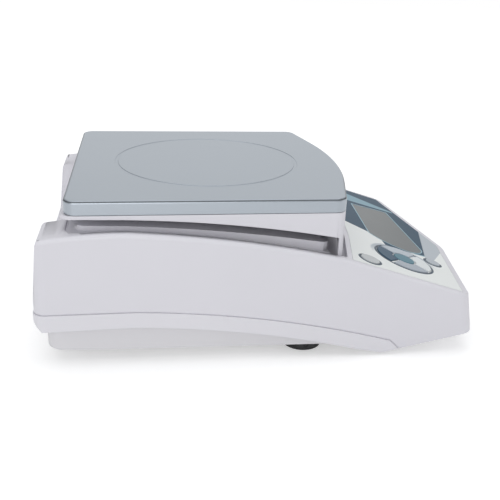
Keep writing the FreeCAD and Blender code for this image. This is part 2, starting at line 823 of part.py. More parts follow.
# Bay, socket openings, spindle hole
bay = block("bay", "-bay_half", "bay_half", "bay_front", "casing_back + cut_over", "bay_height",
            "pan_top_height")
dc_hole = block("dc_hole", "dc_x - dc_half", "dc_x + dc_half", "bay_front - casing_wall - cut_over",
                "bay_front + cut_over",
                "socket_height - dc_half", "socket_height + dc_half")
serial_hole = block("serial_hole", "-serial_x - serial_plug_half", "-serial_x + serial_plug_half",
                    "bay_front - casing_wall - cut_over", "bay_front + cut_over",
                    "socket_height - serial_plug_rise", "socket_height + serial_plug_rise")
spindle_hole = rod("spindle_hole", "0", "pan_centre_y", "adapter_floor_height", "pan_top_height",
                   "spindle_hole_radius")

# Bosses inside the casing, trimmed to the outer skin
panel_screw_tip = "-board_depth + board_screw_reach - panel_screw_short"
posts = []
for side, sign in SIDES:
    for end, y in (("front", "case_screw_front"), ("back", "case_screw_back")):
        posts.append(rod(f"case_boss_{side}_{end}", f"{sign}case_screw_x", y, "case_boss_height",
                         "pan_top_height", "case_boss_radius"))
bosses = common("bosses", blank, fuse("boss_rods", *posts))
shell = cut("hollow_casing", blank, inner)
ground = cut("ground", fuse("casing_with_bosses", shell, bosses), moat_cut, well_cut)
io_posts = []
board_posts = []
holes = []
for side, sign in SIDES:
    io_posts.append(rod(f"io_boss_{side}", f"{sign}io_screw_x", "io_screw_height",
                        "io_front + board_thickness",
                        "bay_front - casing_wall / 2", "board_boss_radius", "Y"))
    holes.append(rod(f"io_bore_{side}", f"{sign}io_screw_x", "io_screw_height", "io_front",
                     "io_front + board_thickness + board_screw_reach + tip_room", "board_screw_radius",
                     "Y"))
    for end, v in (("low", "board_low + board_screw_inset"), ("high", "board_high - panel_screw_drop")):
        post = prism(f"board_boss_{side}_{end}", "XY",
                     [("circle", f"{sign}(board_half - board_screw_inset)", v,
                     "board_boss_radius")], "-board_depth", "-panel_wall / 2")
        board_posts.append(on_panel(post))
        bore = prism(f"board_bore_{side}_{end}", "XY",
                     [("circle", f"{sign}(board_half - board_screw_inset)", v,
                     "board_screw_radius")], "-board_depth - cut_over",
                     f"{panel_screw_tip} + screw_tip_gap")
        holes.append(on_panel(bore))
    for end, y in (("front", "case_screw_front"), ("back", "case_screw_back")):
        holes.append(rod(f"case_bore_{side}_{end}", f"{sign}case_screw_x", y, "case_boss_height - cut_over",
                         "case_boss_height + case_screw_reach + tip_room", "case_screw_radius"))
solid = fuse("casing_solid", ground, deck, *io_posts, *board_posts)
node("upper_housing", cut("upper_housing", solid, deck_room, recess, bay, dc_hole, serial_hole,
                          spindle_hole, *key_cuts, *holes))

# Lower shell: arched band below the seam with a chin across the front
shell_side = [
    ("-seam_end_y", "seam_end_height"),
    ("-chin_y", "chin_height"),
    ("-arch_front_y", "arch_front_height", "arch_rise"),
    ("arch_bend_y", "arch_bend_height"),
    ("arch_heel_y", "arch_heel_height"),
    ("casing_back + shell_lip", "arch_back_height"),
    ("casing_back + shell_lip", "seam_back_height"),
    ("seam_bend_y", "seam_bend_height", "-seam_rise"),
    ("-seam_low_y", "seam_low_height"),
]
shell_room_side = [
    ("-seam_low_y - seam_notch", "sill_height"),
    ("-chin_y", "chin_height + base_wall"),
    ("-sill_y", "sill_height"),
    ("-sill_y", "0"),
    ("casing_back + shell_lip - casing_wall", "0"),
    ("casing_back + shell_lip - casing_wall", "pan_top_height"),
    ("-seam_low_y - seam_notch", "pan_top_height"),
]
shell_wall = "casing_half + shell_lip - casing_wall"
shell_plan = nosed_prism("shell_plan", *SHELL, "casing_corner", "nose_round", "0",
                         "seam_bend_height + cut_over")
shell_outer = common("shell_outer", prism("shell_side", "YZ", [shell_side], "-casing_half - shell_lip",
                                          "casing_half + shell_lip"), shell_plan)
shell_room_plan = nosed_prism("shell_room_plan", *inset(*SHELL, "casing_wall"),
                              "casing_corner - casing_wall", "nose_round", "-cut_over", "pan_top_height")
shell_room = common("shell_room", prism("shell_room_side", "YZ", [shell_room_side], f"-({shell_wall})",
                                        shell_wall), shell_room_plan)
node("lower_shell", cut("lower_shell", shell_outer, shell_room))

# Base tray: sloping floor, walls and a flange that meets the lower shell
BASE_ROOM = ("base_half - base_wall", "base_back - base_wall", "base_front - base_wall")


def base_profile(floor_lift, drop):
    """Side view of the tray between its floor line and its rim line."""
    return [
        ("-base_front", f"base_front_height + ({floor_lift})"),
        ("base_back + cut_over", f"base_back_height + ({floor_lift})"),
        ("base_back + cut_over", f"seam_bend_height - flange_drop - ({drop})"),
        ("seam_bend_y", f"seam_bend_height - flange_drop - ({drop})", "-flange_rise"),
        ("-base_front", f"flange_front_height + ({floor_lift}) - ({drop})"),
    ]


flange_side = [
    ("-base_front", "flange_front_height - flange_thickness", "flange_rise"),
    ("seam_bend_y", "seam_bend_height - flange_drop - flange_thickness"),
    ("casing_back + shell_lip - casing_wall", "seam_bend_height - flange_drop - flange_thickness"),
    ("casing_back + shell_lip - casing_wall", "seam_bend_height - flange_drop"),
    ("seam_bend_y", "seam_bend_height - flange_drop", "-flange_rise"),
    ("-base_front", "flange_front_height"),
]
base_plan = rounded_prism("base_plan", "base_half", "base_back", "base_front", "base_corner", "0",
                          "seam_bend_height")
base_outer = common("base_outer", prism("base_side", "YZ", [base_profile("0", "0")], "-base_half",
                                        "base_half"), base_plan)
flange = common("base_flange", prism("flange_side", "YZ", [flange_side], f"-({shell_wall})", shell_wall),
                shell_room_plan)
base_room_plan = rounded_prism("base_room_plan", *BASE_ROOM, "base_corner - base_wall", "0",
                               "pan_top_height")
base_room_side = [
    ("-base_front", "base_front_height + base_wall"),
    ("base_back", "base_back_height + base_wall"),
    ("base_back", "pan_top_height"),
    ("-base_front", "pan_top_height"),
]
base_room = common("base_room", prism("base_room_side", "YZ", [base_room_side], "-base_half", "base_half"),
                   base_room_plan)
FLOOR = "base_front_height"
base_posts = []
base_holes = []
for side, sign in SIDES:
    base_posts.append(rod(f"foot_boss_{side}", f"{sign}foot_x", "-foot_y", FLOOR + " + post_root",
                          "insert_height - insert_proud", "foot_boss_radius"))
    base_posts.append(rod(f"foot_cup_{side}", f"{sign}(foot_x - cup_shift)", "-foot_y",
                          FLOOR + " + cup_root",
                          "foot_pocket_height + base_wall", "foot_pocket_radius + cup_wall"))
    base_holes.append(rod(f"foot_pocket_{side}", f"{sign}foot_x", "-foot_y", "0", "foot_pocket_height",
                          "foot_pocket_radius"))
    base_holes.append(rod(f"insert_bore_{side}", f"{sign}foot_x", "-foot_y", "0", "insert_height",
                          "insert_radius"))
    base_holes.append(rod(f"heel_bore_{side}", f"{sign}heel_x", "heel_y", "0",
                          "base_back_height + heel_bore_rise",
                          "heel_plug_radius"))
    for end, y in (("front", "case_screw_front"), ("back", "case_screw_back")):
        base_posts.append(rod(f"base_boss_{side}_{end}", f"{sign}case_screw_x", y,
                              "base_back_height + boss_root",
                              "case_boss_height", "case_boss_radius"))
        base_holes.append(rod(f"base_bore_{side}_{end}", f"{sign}case_screw_x", y, "0", "case_boss_height",
                              "case_screw_radius"))
        base_holes.append(rod(f"base_sink_{side}_{end}", f"{sign}case_screw_x", y, "0",
                              "base_back_height + screw_head_height - screw_sink", "case_screw_head"))
    for end, y in (("front", "plate_front + plate_screw_inset"),
                   ("back", "plate_back - plate_screw_inset")):
        base_posts.append(rod(f"plate_boss_{side}_{end}", f"{sign}plate_screw_x", y,
                              "base_back_height - boss_root",
                              "plate_low_height", "plate_boss_radius"))
        base_holes.append(rod(f"plate_bore_{side}_{end}", f"{sign}plate_screw_x", y,
                              "plate_top_height - plate_screw_reach - 2 * tip_room", "plate_low_height",
                              "plate_screw_radius"))
MAIN_CORNERS = [(f"-({x})", y) for x in ("main_left - board_screw_inset", "main_right + board_screw_inset")
                for y in ("main_front + board_screw_inset", "main_back - board_screw_inset")]
for i, (x, y) in enumerate(MAIN_CORNERS):
    base_posts.append(rod(f"main_boss_{i}", x, y, "base_back_height", "main_height", "board_boss_radius"))
    base_holes.append(rod(f"main_bore_{i}", x, y, "main_height - board_screw_reach", "main_height",
                          "board_screw_radius"))
tray = cut("tray", fuse("tray_blank", base_outer, flange), base_room)
inner_posts = common("inner_posts", fuse("base_rods", *base_posts), base_plan)
node("base_tray", cut("base_tray", fuse("tray_with_posts", tray, inner_posts), *base_holes))

# Weighing pan: pressed sheet with a turned-down rim and a fine ring
pan_blank = nosed_prism("pan_blank", "pan_half", "pan_back", "pan_front", "pan_slope", "pan_corner",
                        "pan_nose_round", "pan_rim_height", "pan_top_height")
pan_edges = []
for i, edge in enumerate(pan_blank.Shape.Edges, start=1):
    if all(abs(v.Point.z - number("pan_top_height")) < 0.01 for v in edge.Vertexes):
        pan_edges.append(f"Edge{i}")
pan_wall = pan_blank.Tip
pan_round = pan_blank.newObject("PartDesign::Fillet", "pan_edge_rounding")
pan_round.Base = (pan_wall, pan_edges)
bind(pan_round, "Radius", "pan_edge_round")
doc.recompute()
pan_room = nosed_prism("pan_room", *inset("pan_half", "pan_back", "pan_front", "pan_slope", "pan_sheet"),
                       "pan_corner - pan_sheet", "pan_nose_round", "pan_rim_height",
                       "pan_top_height - pan_sheet")
ring_low = "pan_top_height - pan_ring_depth"
pan_ring = cut("pan_ring", rod("pan_ring_outer", "0", "pan_centre_y", ring_low, "pan_top_height + 1",
                               "pan_ring_radius + pan_ring_width / 2"),
               rod("pan_ring_core", "0", "pan_centre_y", ring_low, "pan_top_height + 1",
                   "pan_ring_radius - pan_ring_width / 2"))
node("weighing_pan", cut("weighing_pan", pan_blank, pan_room, pan_ring))

# Pan carrier: plate, side skirts and the apron in front, with four posts and a socket
CARRIER = ("pan_half", "carrier_back", "pan_front", "pan_slope")
carrier_side = [
    ("carrier_back", "carrier_back_height"),
    ("carrier_back", "carrier_top_height"),
    (NOSE_Y, "carrier_top_height"),
    (NOSE_Y, "apron_height"),
    ("-carrier_bend_front", "apron_height"),
    ("-carrier_bend_front", "carrier_front_height", "carrier_rise"),
    ("carrier_bend_y", "carrier_bend_height"),
]
carrier_plan = nosed_prism("carrier_plan", *CARRIER, "pan_corner", "pan_nose_round", "0", "pan_top_height")
carrier_room = nosed_prism("carrier_room", *inset(*CARRIER, "carrier_wall"), "pan_corner - carrier_wall",
                           "pan_nose_round", "0", "carrier_top_height - carrier_plate")
carrier_skin = cut("carrier_skin", common("carrier_blank", prism("carrier_side", "YZ", [carrier_side],
                   "-pan_half", "pan_half"), carrier_plan), carrier_room)
carrier_parts = [rod("socket_boss", "0", "pan_centre_y", "socket_seat_height - socket_depth",
                     "carrier_top_height", "socket_radius")]
bumpers = []
for side, sign in SIDES:
    for end, y in (("front", "-post_front"), ("back", "post_back")):
        carrier_parts.append(rod(f"post_{side}_{end}", f"{sign}post_x", y, "carrier_top_height - post_root",
                                 "post_height", "post_radius"))
        bumpers.append(rod(f"bumper_{side}_{end}", f"{sign}post_x", y, "post_height",
                           "pan_top_height - pan_sheet - pan_seat_gap", "bumper_radius"))
socket_bore = rod("socket_bore", "0", "pan_centre_y", "socket_seat_height - socket_depth",
                  "socket_seat_height", "spindle_radius + running_fit")
node("pan_carrier", cut("pan_carrier", fuse("carrier_solid", carrier_skin, *carrier_parts), socket_bore))
node("pan_bumpers", group("pan_bumpers", *bumpers))
node("support_spindle", rod("support_spindle", "0", "pan_centre_y", "spindle_end_height",
                            "socket_seat_height", "spindle_radius"))

# Weigh cell: bending beam on a block and a plate, adapter on its free end
beam = block("beam", "-cell_half", "cell_half", "cell_front", "cell_back", "cell_low_height",
             "cell_top_height")
cell_middle = "(cell_low_height + cell_top_height) / 2"
beam_cuts = [rod("cell_bore_a", cell_middle, "cell_bore_front", "-cell_half", "cell_half",
                 "cell_bore_radius", "X"),
             rod("cell_bore_b", cell_middle, "cell_bore_back", "-cell_half", "cell_half",
                 "cell_bore_radius", "X"),
             block("cell_slot", "-cell_half", "cell_half", "cell_bore_front", "cell_bore_back",
                   f"{cell_middle} - cell_slot_half", f"{cell_middle} + cell_slot_half")]
for item, y in zip(beam_cuts[:2], ("cell_bore_front", "cell_bore_back")):
    bind(item, "Placement.Base.y", y)
    bind(item, "Placement.Base.z", cell_middle)
cell_screw_spots = (("block_a", "cell_block_front + cell_screw_inset"),
                    ("block_b", "cell_back - cell_screw_inset"))
for name, y in cell_screw_spots:
    beam_cuts.append(rod("cell_bore_" + name, "0", y, "cell_low_height", "cell_top_height",
                         "cell_screw_radius"))
node("load_cell_beam", cut("load_cell_beam", beam, *beam_cuts))
support = block("support", "-cell_half", "cell_half", "cell_block_front", "cell_back",
                "plate_top_height", "cell_low_height")
support_bores = []
cell_screws = []
for name, y in cell_screw_spots:
    support_bores.append(rod("support_bore_" + name, "0", y, "cell_low_height - cell_screw_reach",
                             "cell_low_height", "cell_screw_radius"))
    cell_screws.append(screw("cell_screw_" + name, "0", y, "cell_top_height", "cell_screw_head",
                             "screw_head_height", "cell_screw_radius",
                             "cell_top_height - cell_low_height + cell_screw_reach - tip_room", up=False))
node("cell_support_block", cut("cell_support_block", support, *support_bores))
node("cell_screws", group("cell_screws", *cell_screws))

plate_cuts = []
plate_screws = []
for side, sign in SIDES:
    for end, y in (("front", "plate_front + plate_screw_inset"),
                   ("back", "plate_back - plate_screw_inset")):
        plate_cuts.append(rod(f"plate_hole_{side}_{end}", f"{sign}plate_screw_x", y, "plate_low_height",
                              "plate_top_height", "plate_screw_radius"))
        plate_screws.append(screw(f"plate_screw_{side}_{end}", f"{sign}plate_screw_x", y,
                                  "plate_top_height",
                                  "plate_screw_head", "screw_head_height", "plate_screw_radius",
                                  "plate_screw_reach", up=False))
stop_hole = rod("stop_hole", "0", "cell_front + stop_inset", "plate_low_height", "plate_top_height",
                "stop_radius / 2")
node("cell_base_plate", cut("cell_base_plate", block("plate", "-plate_half", "plate_half", "plate_front",
                            "plate_back", "plate_low_height", "plate_top_height"), stop_hole, *plate_cuts))
node("plate_screws", group("plate_screws", *plate_screws))
node("overload_stop", fuse("overload_stop",
                           rod("stop_post", "0", "cell_front + stop_inset", "plate_top_height",
                               "cell_low_height - stop_gap", "stop_radius"),
                           rod("stop_stem", "0", "cell_front + stop_inset", "plate_low_height",
                               "plate_top_height + post_root", "stop_radius / 2")))
adapter_bore = rod("adapter_bore", "0", "pan_centre_y", "adapter_floor_height", "adapter_height",
                   "spindle_radius + running_fit")
node("spindle_adapter", cut("spindle_adapter", rod("adapter", "0", "pan_centre_y", "cell_top_height",
                            "adapter_height", "adapter_radius"), adapter_bore))
node("overload_spring", cut("overload_spring",
                            rod("spring_disc", "0", "pan_centre_y", "adapter_floor_height", "spring_height",
                                "spindle_radius - spring_gap"),
                            rod("spring_eye", "0", "pan_centre_y", "adapter_floor_height", "spring_height",
                                "spindle_radius / 2")))

# Feet: knurled wheel with a stud turning in a brass insert, on a swivelling pad; rubber heels
inserts = []
heels = []
case_screws = []
wheel_low = "pad_thickness + foot_gap"
for side, sign in SIDES:
    x = f"{sign}foot_x"
    inserts.append(cut(f"insert_{side}", rod(f"insert_blank_{side}", x, "-foot_y", "foot_pocket_height",
                                             "insert_height", "insert_radius"),
                       rod(f"insert_thread_{side}", x, "-foot_y", "foot_pocket_height", "insert_height",
                           "stud_radius + running_fit")))
    node(f"foot_pad_{side}", fuse(f"foot_pad_{side}", rod(f"pad_disc_{side}", x, "-foot_y", "0",
                                                          "pad_thickness", "pad_radius"),
                                  rod(f"pad_hub_{side}", x, "-foot_y", "0", "pad_hub_height",
                                      "pad_hub_radius")))
    notches = []
    for i in range(12):
        notches.append(rod(f"notch_{side}_{i}", f"{x} + wheel_radius * cos(30 * {i})",
                           f"-foot_y + wheel_radius * sin(30 * {i})", wheel_low, "wheel_height",
                           "wheel_notch_radius"))
    hub_room = rod(f"hub_room_{side}", x, "-foot_y", wheel_low, "pad_hub_height + foot_gap",
                   "pad_hub_radius + running_fit")
    wheel = fuse(f"wheel_blank_{side}", rod(f"wheel_{side}", x, "-foot_y", wheel_low, "wheel_height",
                                            "wheel_radius"),
                 rod(f"stud_{side}", x, "-foot_y", wheel_low, "stud_height", "stud_radius"))
    node(f"foot_wheel_{side}", cut(f"foot_wheel_{side}", wheel, hub_room, *notches))
    heels.append(fuse(f"heel_{side}", rod(f"heel_disc_{side}", f"{sign}heel_x", "heel_y", "0",
                                          "base_back_height - heel_seat_gap", "heel_radius"),
                      rod(f"heel_plug_{side}", f"{sign}heel_x", "heel_y", "0",
                          "base_back_height + heel_plug_rise",
                          "heel_plug_radius")))
    case_shank = "case_boss_height + case_screw_reach - base_back_height - screw_head_height"
    for end, y in (("front", "case_screw_front"), ("back", "case_screw_back")):
        case_screws.append(screw(f"case_screw_{side}_{end}", f"{sign}case_screw_x", y,
                                 "base_back_height - screw_sink", "case_screw_head", "screw_head_height",
                                 "case_screw_radius", case_shank))
node("foot_inserts", group("foot_inserts", *inserts))
node("heel_pads", group("heel_pads", *heels))
node("case_screws", group("case_screws", *case_screws))

# Panel overlay, window, display and keys
overlay_sheet = on_panel(prism("overlay_sheet", "XY", [overlay_outline("0")], "-overlay_depth",
                               "overlay_thickness - overlay_depth"))
overlay_cuts = []
for i, shape in enumerate([lcd_outline] + key_openings("key_fit")):
    overlay_cuts.append(on_panel(prism(f"overlay_opening_{i}", "XY", [shape], "-cut_over", "cut_over")))
node("panel_overlay", cut("panel_overlay", overlay_sheet, *overlay_cuts))
node("display_window", on_panel(prism("display_window", "XY", [lcd_outline], "-panel_wall",
                                      "overlay_thickness - overlay_depth")))
module = [("-lcd_low_left", "lcd_low + module_margin"),
          ("lcd_low_right", "lcd_low + module_margin"),
          ("lcd_low_right", "lcd_high"),
          ("-lcd_corner_x", "lcd_high + module_margin"),
          ("-lcd_low_left", "lcd_side_v + module_margin")]
node("display_module", on_panel(prism("display_module", "XY", [module], "-board_depth", "-panel_wall")))


def key(label, cap, flange, x, v):
    """Key: cap through the panel, flange under it, foot above its switch."""
    top = f"{label}_cap"
    under = "-panel_wall - key_rest_gap"
    parts = [on_panel(prism(top, "XY", [cap], under, "key_proud")),
             on_panel(prism(f"{label}_flange", "XY", [flange], f"{under} - key_flange_thickness", under)),
             on_panel(prism(f"{label}_foot", "XY", [("circle", x, v, "key_foot_radius")],
                            "-key_foot_depth", under))]
    node(label, fuse(label, *parts))


switches = []
for name, middle in ARROWS:
    x = f"-ring_x + (ring_inner + ring_outer) / 2 * cos({middle})"
    v = f"ring_v + (ring_inner + ring_outer) / 2 * sin({middle})"
    key(f"key_{name}", ring_sector(middle, "ring_inner", "ring_outer", "1"),
        ring_sector(middle, "ring_inner + ring_flange_step", "ring_outer + key_flange", "0.6"), x, v)
    switches.append((x, v))
for name, x, v, radius in ROUNDS:
    grow = "enter_flange" if name == "enter" else "key_flange"
    key(f"key_{name}", ("circle", x, v, radius), ("circle", x, v, f"{radius} + {grow}"), x, v)
    switches.append((x, v))
switch_solids = []
for i, (x, v) in enumerate(switches):
    half = "switch_side / 2"
    square = [(f"{x} + {half}", f"{v} - {half}"), (f"{x} + {half}", f"{v} + {half}"),
              (f"{x} - {half}", f"{v} + {half}"), (f"{x} - {half}", f"{v} - {half}")]
    switch_solids.append(on_panel(prism(f"switch_{i}", "XY", [square], "-board_depth",
                                        "-board_depth + switch_height")))
node("key_switches", group("key_switches", *switch_solids))
board_low_depth = "-board_depth - board_thickness"
board_outline = [("board_half", "board_low"), ("board_half", "board_high"), ("-board_half", "board_high"),
                 ("-board_half", "board_low")]
panel_sheet = on_panel(prism("panel_sheet", "XY", [board_outline], board_low_depth, "-board_depth"))
lower_tongue = on_panel(prism("panel_tongue", "XY", [[
    ("-power_x + tongue_half", "power_v - tongue_reach"),
    ("-power_x + tongue_half", "board_low + tongue_lap"),
    ("-power_x - tongue_half", "board_low + tongue_lap"),
    ("-power_x - tongue_half", "power_v - tongue_reach"),
]], board_low_depth, "-board_depth"))
panel_bores = []
panel_screws = []
for side, sign in SIDES:
    for end, v in (("low", "board_low + board_screw_inset"), ("high", "board_high - panel_screw_drop")):
        x = f"{sign}(board_half - board_screw_inset)"
        panel_bores.append(on_panel(prism(f"panel_bore_{side}_{end}", "XY", [("circle", x, v,
                           "board_screw_radius")], f"{board_low_depth} - cut_over",
                           "-board_depth + cut_over")))
        shank = on_panel(prism(f"panel_shank_{side}_{end}", "XY", [("circle", x, v, "board_screw_radius")],
                               f"{board_low_depth} - board_head_height / 2", panel_screw_tip))
        head = on_panel(prism(f"panel_head_{side}_{end}", "XY", [("circle", x, v, "board_screw_head")],
                              f"{board_low_depth} - board_head_height", board_low_depth))
        panel_screws.append(fuse(f"panel_screw_{side}_{end}", shank, head))
node("panel_board", cut("panel_board", fuse("panel_board_blank", panel_sheet, lower_tongue), *panel_bores))
node("panel_screws", group("panel_screws", *panel_screws))

# Main board, socket board and their screws
main_bores = []
main_screws = []
for i, (x, y) in enumerate(MAIN_CORNERS):
    main_bores.append(rod(f"main_hole_{i}", x, y, "main_height", "main_height + board_thickness",
                          "board_screw_radius"))
    main_screws.append(screw(f"main_screw_{i}", x, y, "main_height + board_thickness", "board_screw_head",
                             "board_head_height", "board_screw_radius", "board_screw_reach", up=False))
node("main_board", cut("main_board", block("main_sheet", "-main_left", "-main_right", "main_front",
                       "main_back", "main_height", "main_height + board_thickness"), *main_bores))
io_bores = []
io_screws = []
io_back = "io_front + board_thickness"
for side, sign in SIDES:
    x = f"{sign}io_screw_x"
    io_bores.append(rod(f"io_hole_{side}", x, "io_screw_height", "io_front", io_back, "board_screw_radius",
                        "Y"))
    io_screws.append(fuse(f"io_screw_{side}",
                          rod(f"io_head_{side}", x, "io_screw_height", "io_front - board_head_height",
                              "io_front", "board_screw_head", "Y"),
                          rod(f"io_shank_{side}", x, "io_screw_height", "io_front - board_head_height",
                              f"{io_back} + board_screw_reach", "board_screw_radius", "Y")))
node("socket_board", cut("socket_board", block("io_sheet", "-io_half", "io_half", "io_front", io_back,
                         "io_low", "io_high"), *io_bores))
node("board_screws", group("board_screws", *main_screws, *io_screws))
dc_body = block("dc_body", "dc_x - dc_half", "dc_x + dc_half", io_back, "bay_front",
                "socket_height - dc_half", "socket_height + dc_half")
dc_well = rod("dc_well", "dc_x", "socket_height", "bay_front - dc_well_depth", "bay_front + cut_over",
              "dc_bore", "Y")
dc_pin = rod("dc_pin_rod", "dc_x", "socket_height", "bay_front - dc_well_depth - post_root",
             "bay_front - dc_pin_sink", "dc_pin", "Y")
node("power_socket", fuse("power_socket", cut("dc_shell", dc_body, dc_well), dc_pin))
serial_body = block("serial_body", "-serial_x - serial_half", "-serial_x + serial_half", io_back,
                    "bay_front - casing_wall", "socket_height - serial_rise", "socket_height + serial_rise")
serial_nose = block("serial_nose", "-serial_x - serial_plug_half + serial_fit",
                    "-serial_x + serial_plug_half - serial_fit",
                    "bay_front - casing_wall - post_root", "bay_front + serial_reach",
                    "socket_height - serial_plug_rise + serial_fit",
                    "socket_height + serial_plug_rise - serial_fit")
serial_well = block("serial_well", "-serial_x - serial_plug_half + serial_wall",
                    "-serial_x + serial_plug_half - serial_wall",
                    "bay_front - casing_wall + serial_wall", "bay_front + serial_reach + cut_over",
                    "socket_height - serial_plug_rise + serial_wall",
                    "socket_height + serial_plug_rise - serial_wall")
pins = []
for count, rise in ((5, "serial_row"), (4, "-serial_row")):
    for i in range(count):
        pins.append(rod(f"serial_pin_{count}_{i}", f"-serial_x + serial_pitch * ({i} - ({count} - 1) / 2)",
                        f"socket_height + {rise}", "bay_front - casing_wall",
                        "bay_front + serial_reach - dc_pin_sink",
                        "serial_pin", "Y"))
serial_blank = fuse("serial_blank", serial_body, serial_nose)
node("serial_socket", fuse("serial_socket", cut("serial_shell", serial_blank, serial_well), *pins))
ribbon_side = [
    ("main_front - ribbon_end", "main_height + board_thickness"),
    ("main_front + ribbon_end", "main_height + board_thickness"),
    ("main_front + ribbon_end", "main_height + board_thickness + ribbon_thickness"),
    ("main_front - ribbon_end", "main_height + board_thickness + ribbon_thickness"),
    ("-ribbon_turn", "ribbon_top + ribbon_thickness"),
    ("-ribbon_turn", "ribbon_top"),
]
node("ribbon_cable", prism("ribbon_cable", "YZ", [ribbon_side], "-ribbon_x", "-ribbon_x + ribbon_width"))

# Spirit level standing in the bay
level_blank = rod("level_blank", "0", "level_y", "bay_height", "level_height", "level_radius")
level_well = rod("level_well", "0", "level_y", "bay_height + level_floor", "level_height",
                 "level_radius - level_wall")
node("level_housing", cut("level_housing", level_blank, level_well))
node("level_vial", rod("level_vial", "0", "level_y", "bay_height + level_floor", "level_glass_height",
                       "level_radius - level_wall"))

# Bring the origin under the middle of the bounding box
for item in nodes:
    own_y = dict(item.ExpressionEngine).get(".Placement.Base.y", "0")
    item.setExpression("Placement.Base.y", f"{own_y} + sizes.frame_shift")

# Write every sub-part after checking it
doc.recompute()
os.makedirs("parts", exist_ok=True)
for item in doc.Objects:
    if "Invalid" in item.State or "Error" in item.State:
        print("bad state", item.Name, item.State)
for item in nodes:
    shape = item.Shape
    if shape.isNull() or not shape.isValid() or shape.Volume <= 0:
        raise RuntimeError(f"{item.Label} has no sound shape")
    shape.exportStep(os.path.join("parts", item.Label + ".step"))
    box = shape.BoundBox
    print(f"{item.Label:20s} solids {len(shape.Solids):2d} volume {shape.Volume:10.1f} "
          f"x {box.XMin:7.1f} {box.XMax:7.1f} y {box.YMin:7.1f} {box.YMax:7.1f} "
          f"z {box.ZMin:6.1f} {box.ZMax:6.1f}")
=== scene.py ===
import math

import bpy
from mathutils import Matrix, Vector


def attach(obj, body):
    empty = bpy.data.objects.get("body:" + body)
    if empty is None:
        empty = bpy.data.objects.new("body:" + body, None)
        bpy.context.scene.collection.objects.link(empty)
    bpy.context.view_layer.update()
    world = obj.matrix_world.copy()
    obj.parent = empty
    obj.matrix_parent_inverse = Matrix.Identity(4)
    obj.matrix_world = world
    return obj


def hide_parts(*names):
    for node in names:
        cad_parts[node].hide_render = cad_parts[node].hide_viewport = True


bl_info = {
    "name": "Laboratory Balance",
    "version": (1, 0, 0),
    "blender": (4, 5, 0),
    "location": "View3D > Sidebar > Balance",
    "description": "Finishes the pieces of a laboratory balance",
    "category": "Object",
}

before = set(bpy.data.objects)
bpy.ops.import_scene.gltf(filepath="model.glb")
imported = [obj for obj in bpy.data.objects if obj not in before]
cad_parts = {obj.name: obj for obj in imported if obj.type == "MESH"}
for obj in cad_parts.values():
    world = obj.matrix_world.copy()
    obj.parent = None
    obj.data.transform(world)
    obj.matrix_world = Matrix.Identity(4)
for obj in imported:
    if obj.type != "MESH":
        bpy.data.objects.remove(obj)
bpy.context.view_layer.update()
MM = 0.001

# The CAD sizes are laid out from a line across the casing that lies this far behind the origin, in
# millimetres; the sloping panel is given by its front corner line and its tilt
LAYOUT_SHIFT = Vector((0, 3.415, 0))
PANEL_TILT = math.radians(17.745)
PANEL_FRAME = Matrix.Translation((0, -131.03, 43.3)) @ Matrix.Rotation(PANEL_TILT, 4, "X")

# Outlines in millimetres from the layout line
CASING_HALF = 103.5
CASING_BACK = 151.5
CASING_CORNER = 8
SHELL_HALF = 104.0
CARRIER_HALF = 95
PAN_CENTRE_Y = 36.0
LEVEL_Y = 143.0

# Upper edge of the leaning nose: its place at the casing's sides and its slope towards the middle
NOSE_EDGE_Y = -133.02
NOSE_EDGE_SLOPE = 0.2211

# Printed shapes of the panel film: centre across and along Y, with the radius
FIELD_CURVE = (62.0, -106.0, 105.5)
KEY_RING = (-65.0, -98.5, 21.4)
ROUND_KEYS = ((-88.2, -66.1, 7.6), (-52.6, -125.5, 6.4))
HALO_RADIUS = 25.0

# A length along the panel is this much longer than it looks from above
PANEL_STRETCH = 1.05


# Small helpers for objects and edit mode

def settings():
    """The user's values."""
    return bpy.context.scene.balance


def deselect_all():
    """Leave edit mode and clear the selection."""
    if bpy.context.object and bpy.context.object.mode != "OBJECT":
        bpy.ops.object.mode_set(mode="OBJECT")
    bpy.ops.object.select_all(action="DESELECT")


def activate(piece):
    """Select one object only."""
    deselect_all()
    piece.select_set(True)
    bpy.context.view_layer.objects.active = piece


def layout(point):
    """Place in millimetres from the layout line."""
    return Vector(point) / MM - LAYOUT_SHIFT


def on_panel(point):
    """Place across, along and above the sloping panel of a point given from the layout line."""
    return PANEL_FRAME.inverted() @ point


def copy_node(name, node):
    """Clean editable copy of a CAD node's mesh."""
    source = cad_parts[node]
    piece = source.copy()
    piece.data = source.data.copy()
    piece.name = name
    piece.parent = None
    piece.hide_render = False
    piece.hide_viewport = False
    for key in list(piece.keys()):
        del piece[key]
    bpy.context.scene.collection.objects.link(piece)
    piece.data.materials.clear()
    activate(piece)
    bpy.ops.object.mode_set(mode="EDIT")
    bpy.ops.mesh.select_all(action="SELECT")
    bpy.ops.mesh.remove_doubles(threshold=0.000002)
    bpy.ops.mesh.dissolve_limited(angle_limit=math.radians(0.4))
    bpy.ops.object.mode_set(mode="OBJECT")
    return piece


def pick_edges(piece, test, sharpness=25):
    """Select the sharp edges whose middle passes a test in millimetres from the layout line."""
    activate(piece)
    bpy.ops.object.mode_set(mode="EDIT")
    bpy.ops.mesh.select_mode(type="EDGE")
    bpy.ops.mesh.select_all(action="DESELECT")
    bpy.ops.mesh.edges_select_sharp(sharpness=math.radians(sharpness))
    bpy.ops.object.mode_set(mode="OBJECT")
    mesh = piece.data
    chosen = 0
    for edge in mesh.edges:
        if not edge.select:
            continue
        start, end = (mesh.vertices[i].co for i in edge.vertices)
        edge.select = bool(test(layout((start + end) / 2), (end - start) / MM))
        chosen += edge.select
    for vertex in mesh.vertices:
        vertex.select = False
    for face in mesh.polygons:
        face.select = False
    for edge in mesh.edges:
        if edge.select:
            for i in edge.vertices:
                mesh.vertices[i].select = True
    return chosen


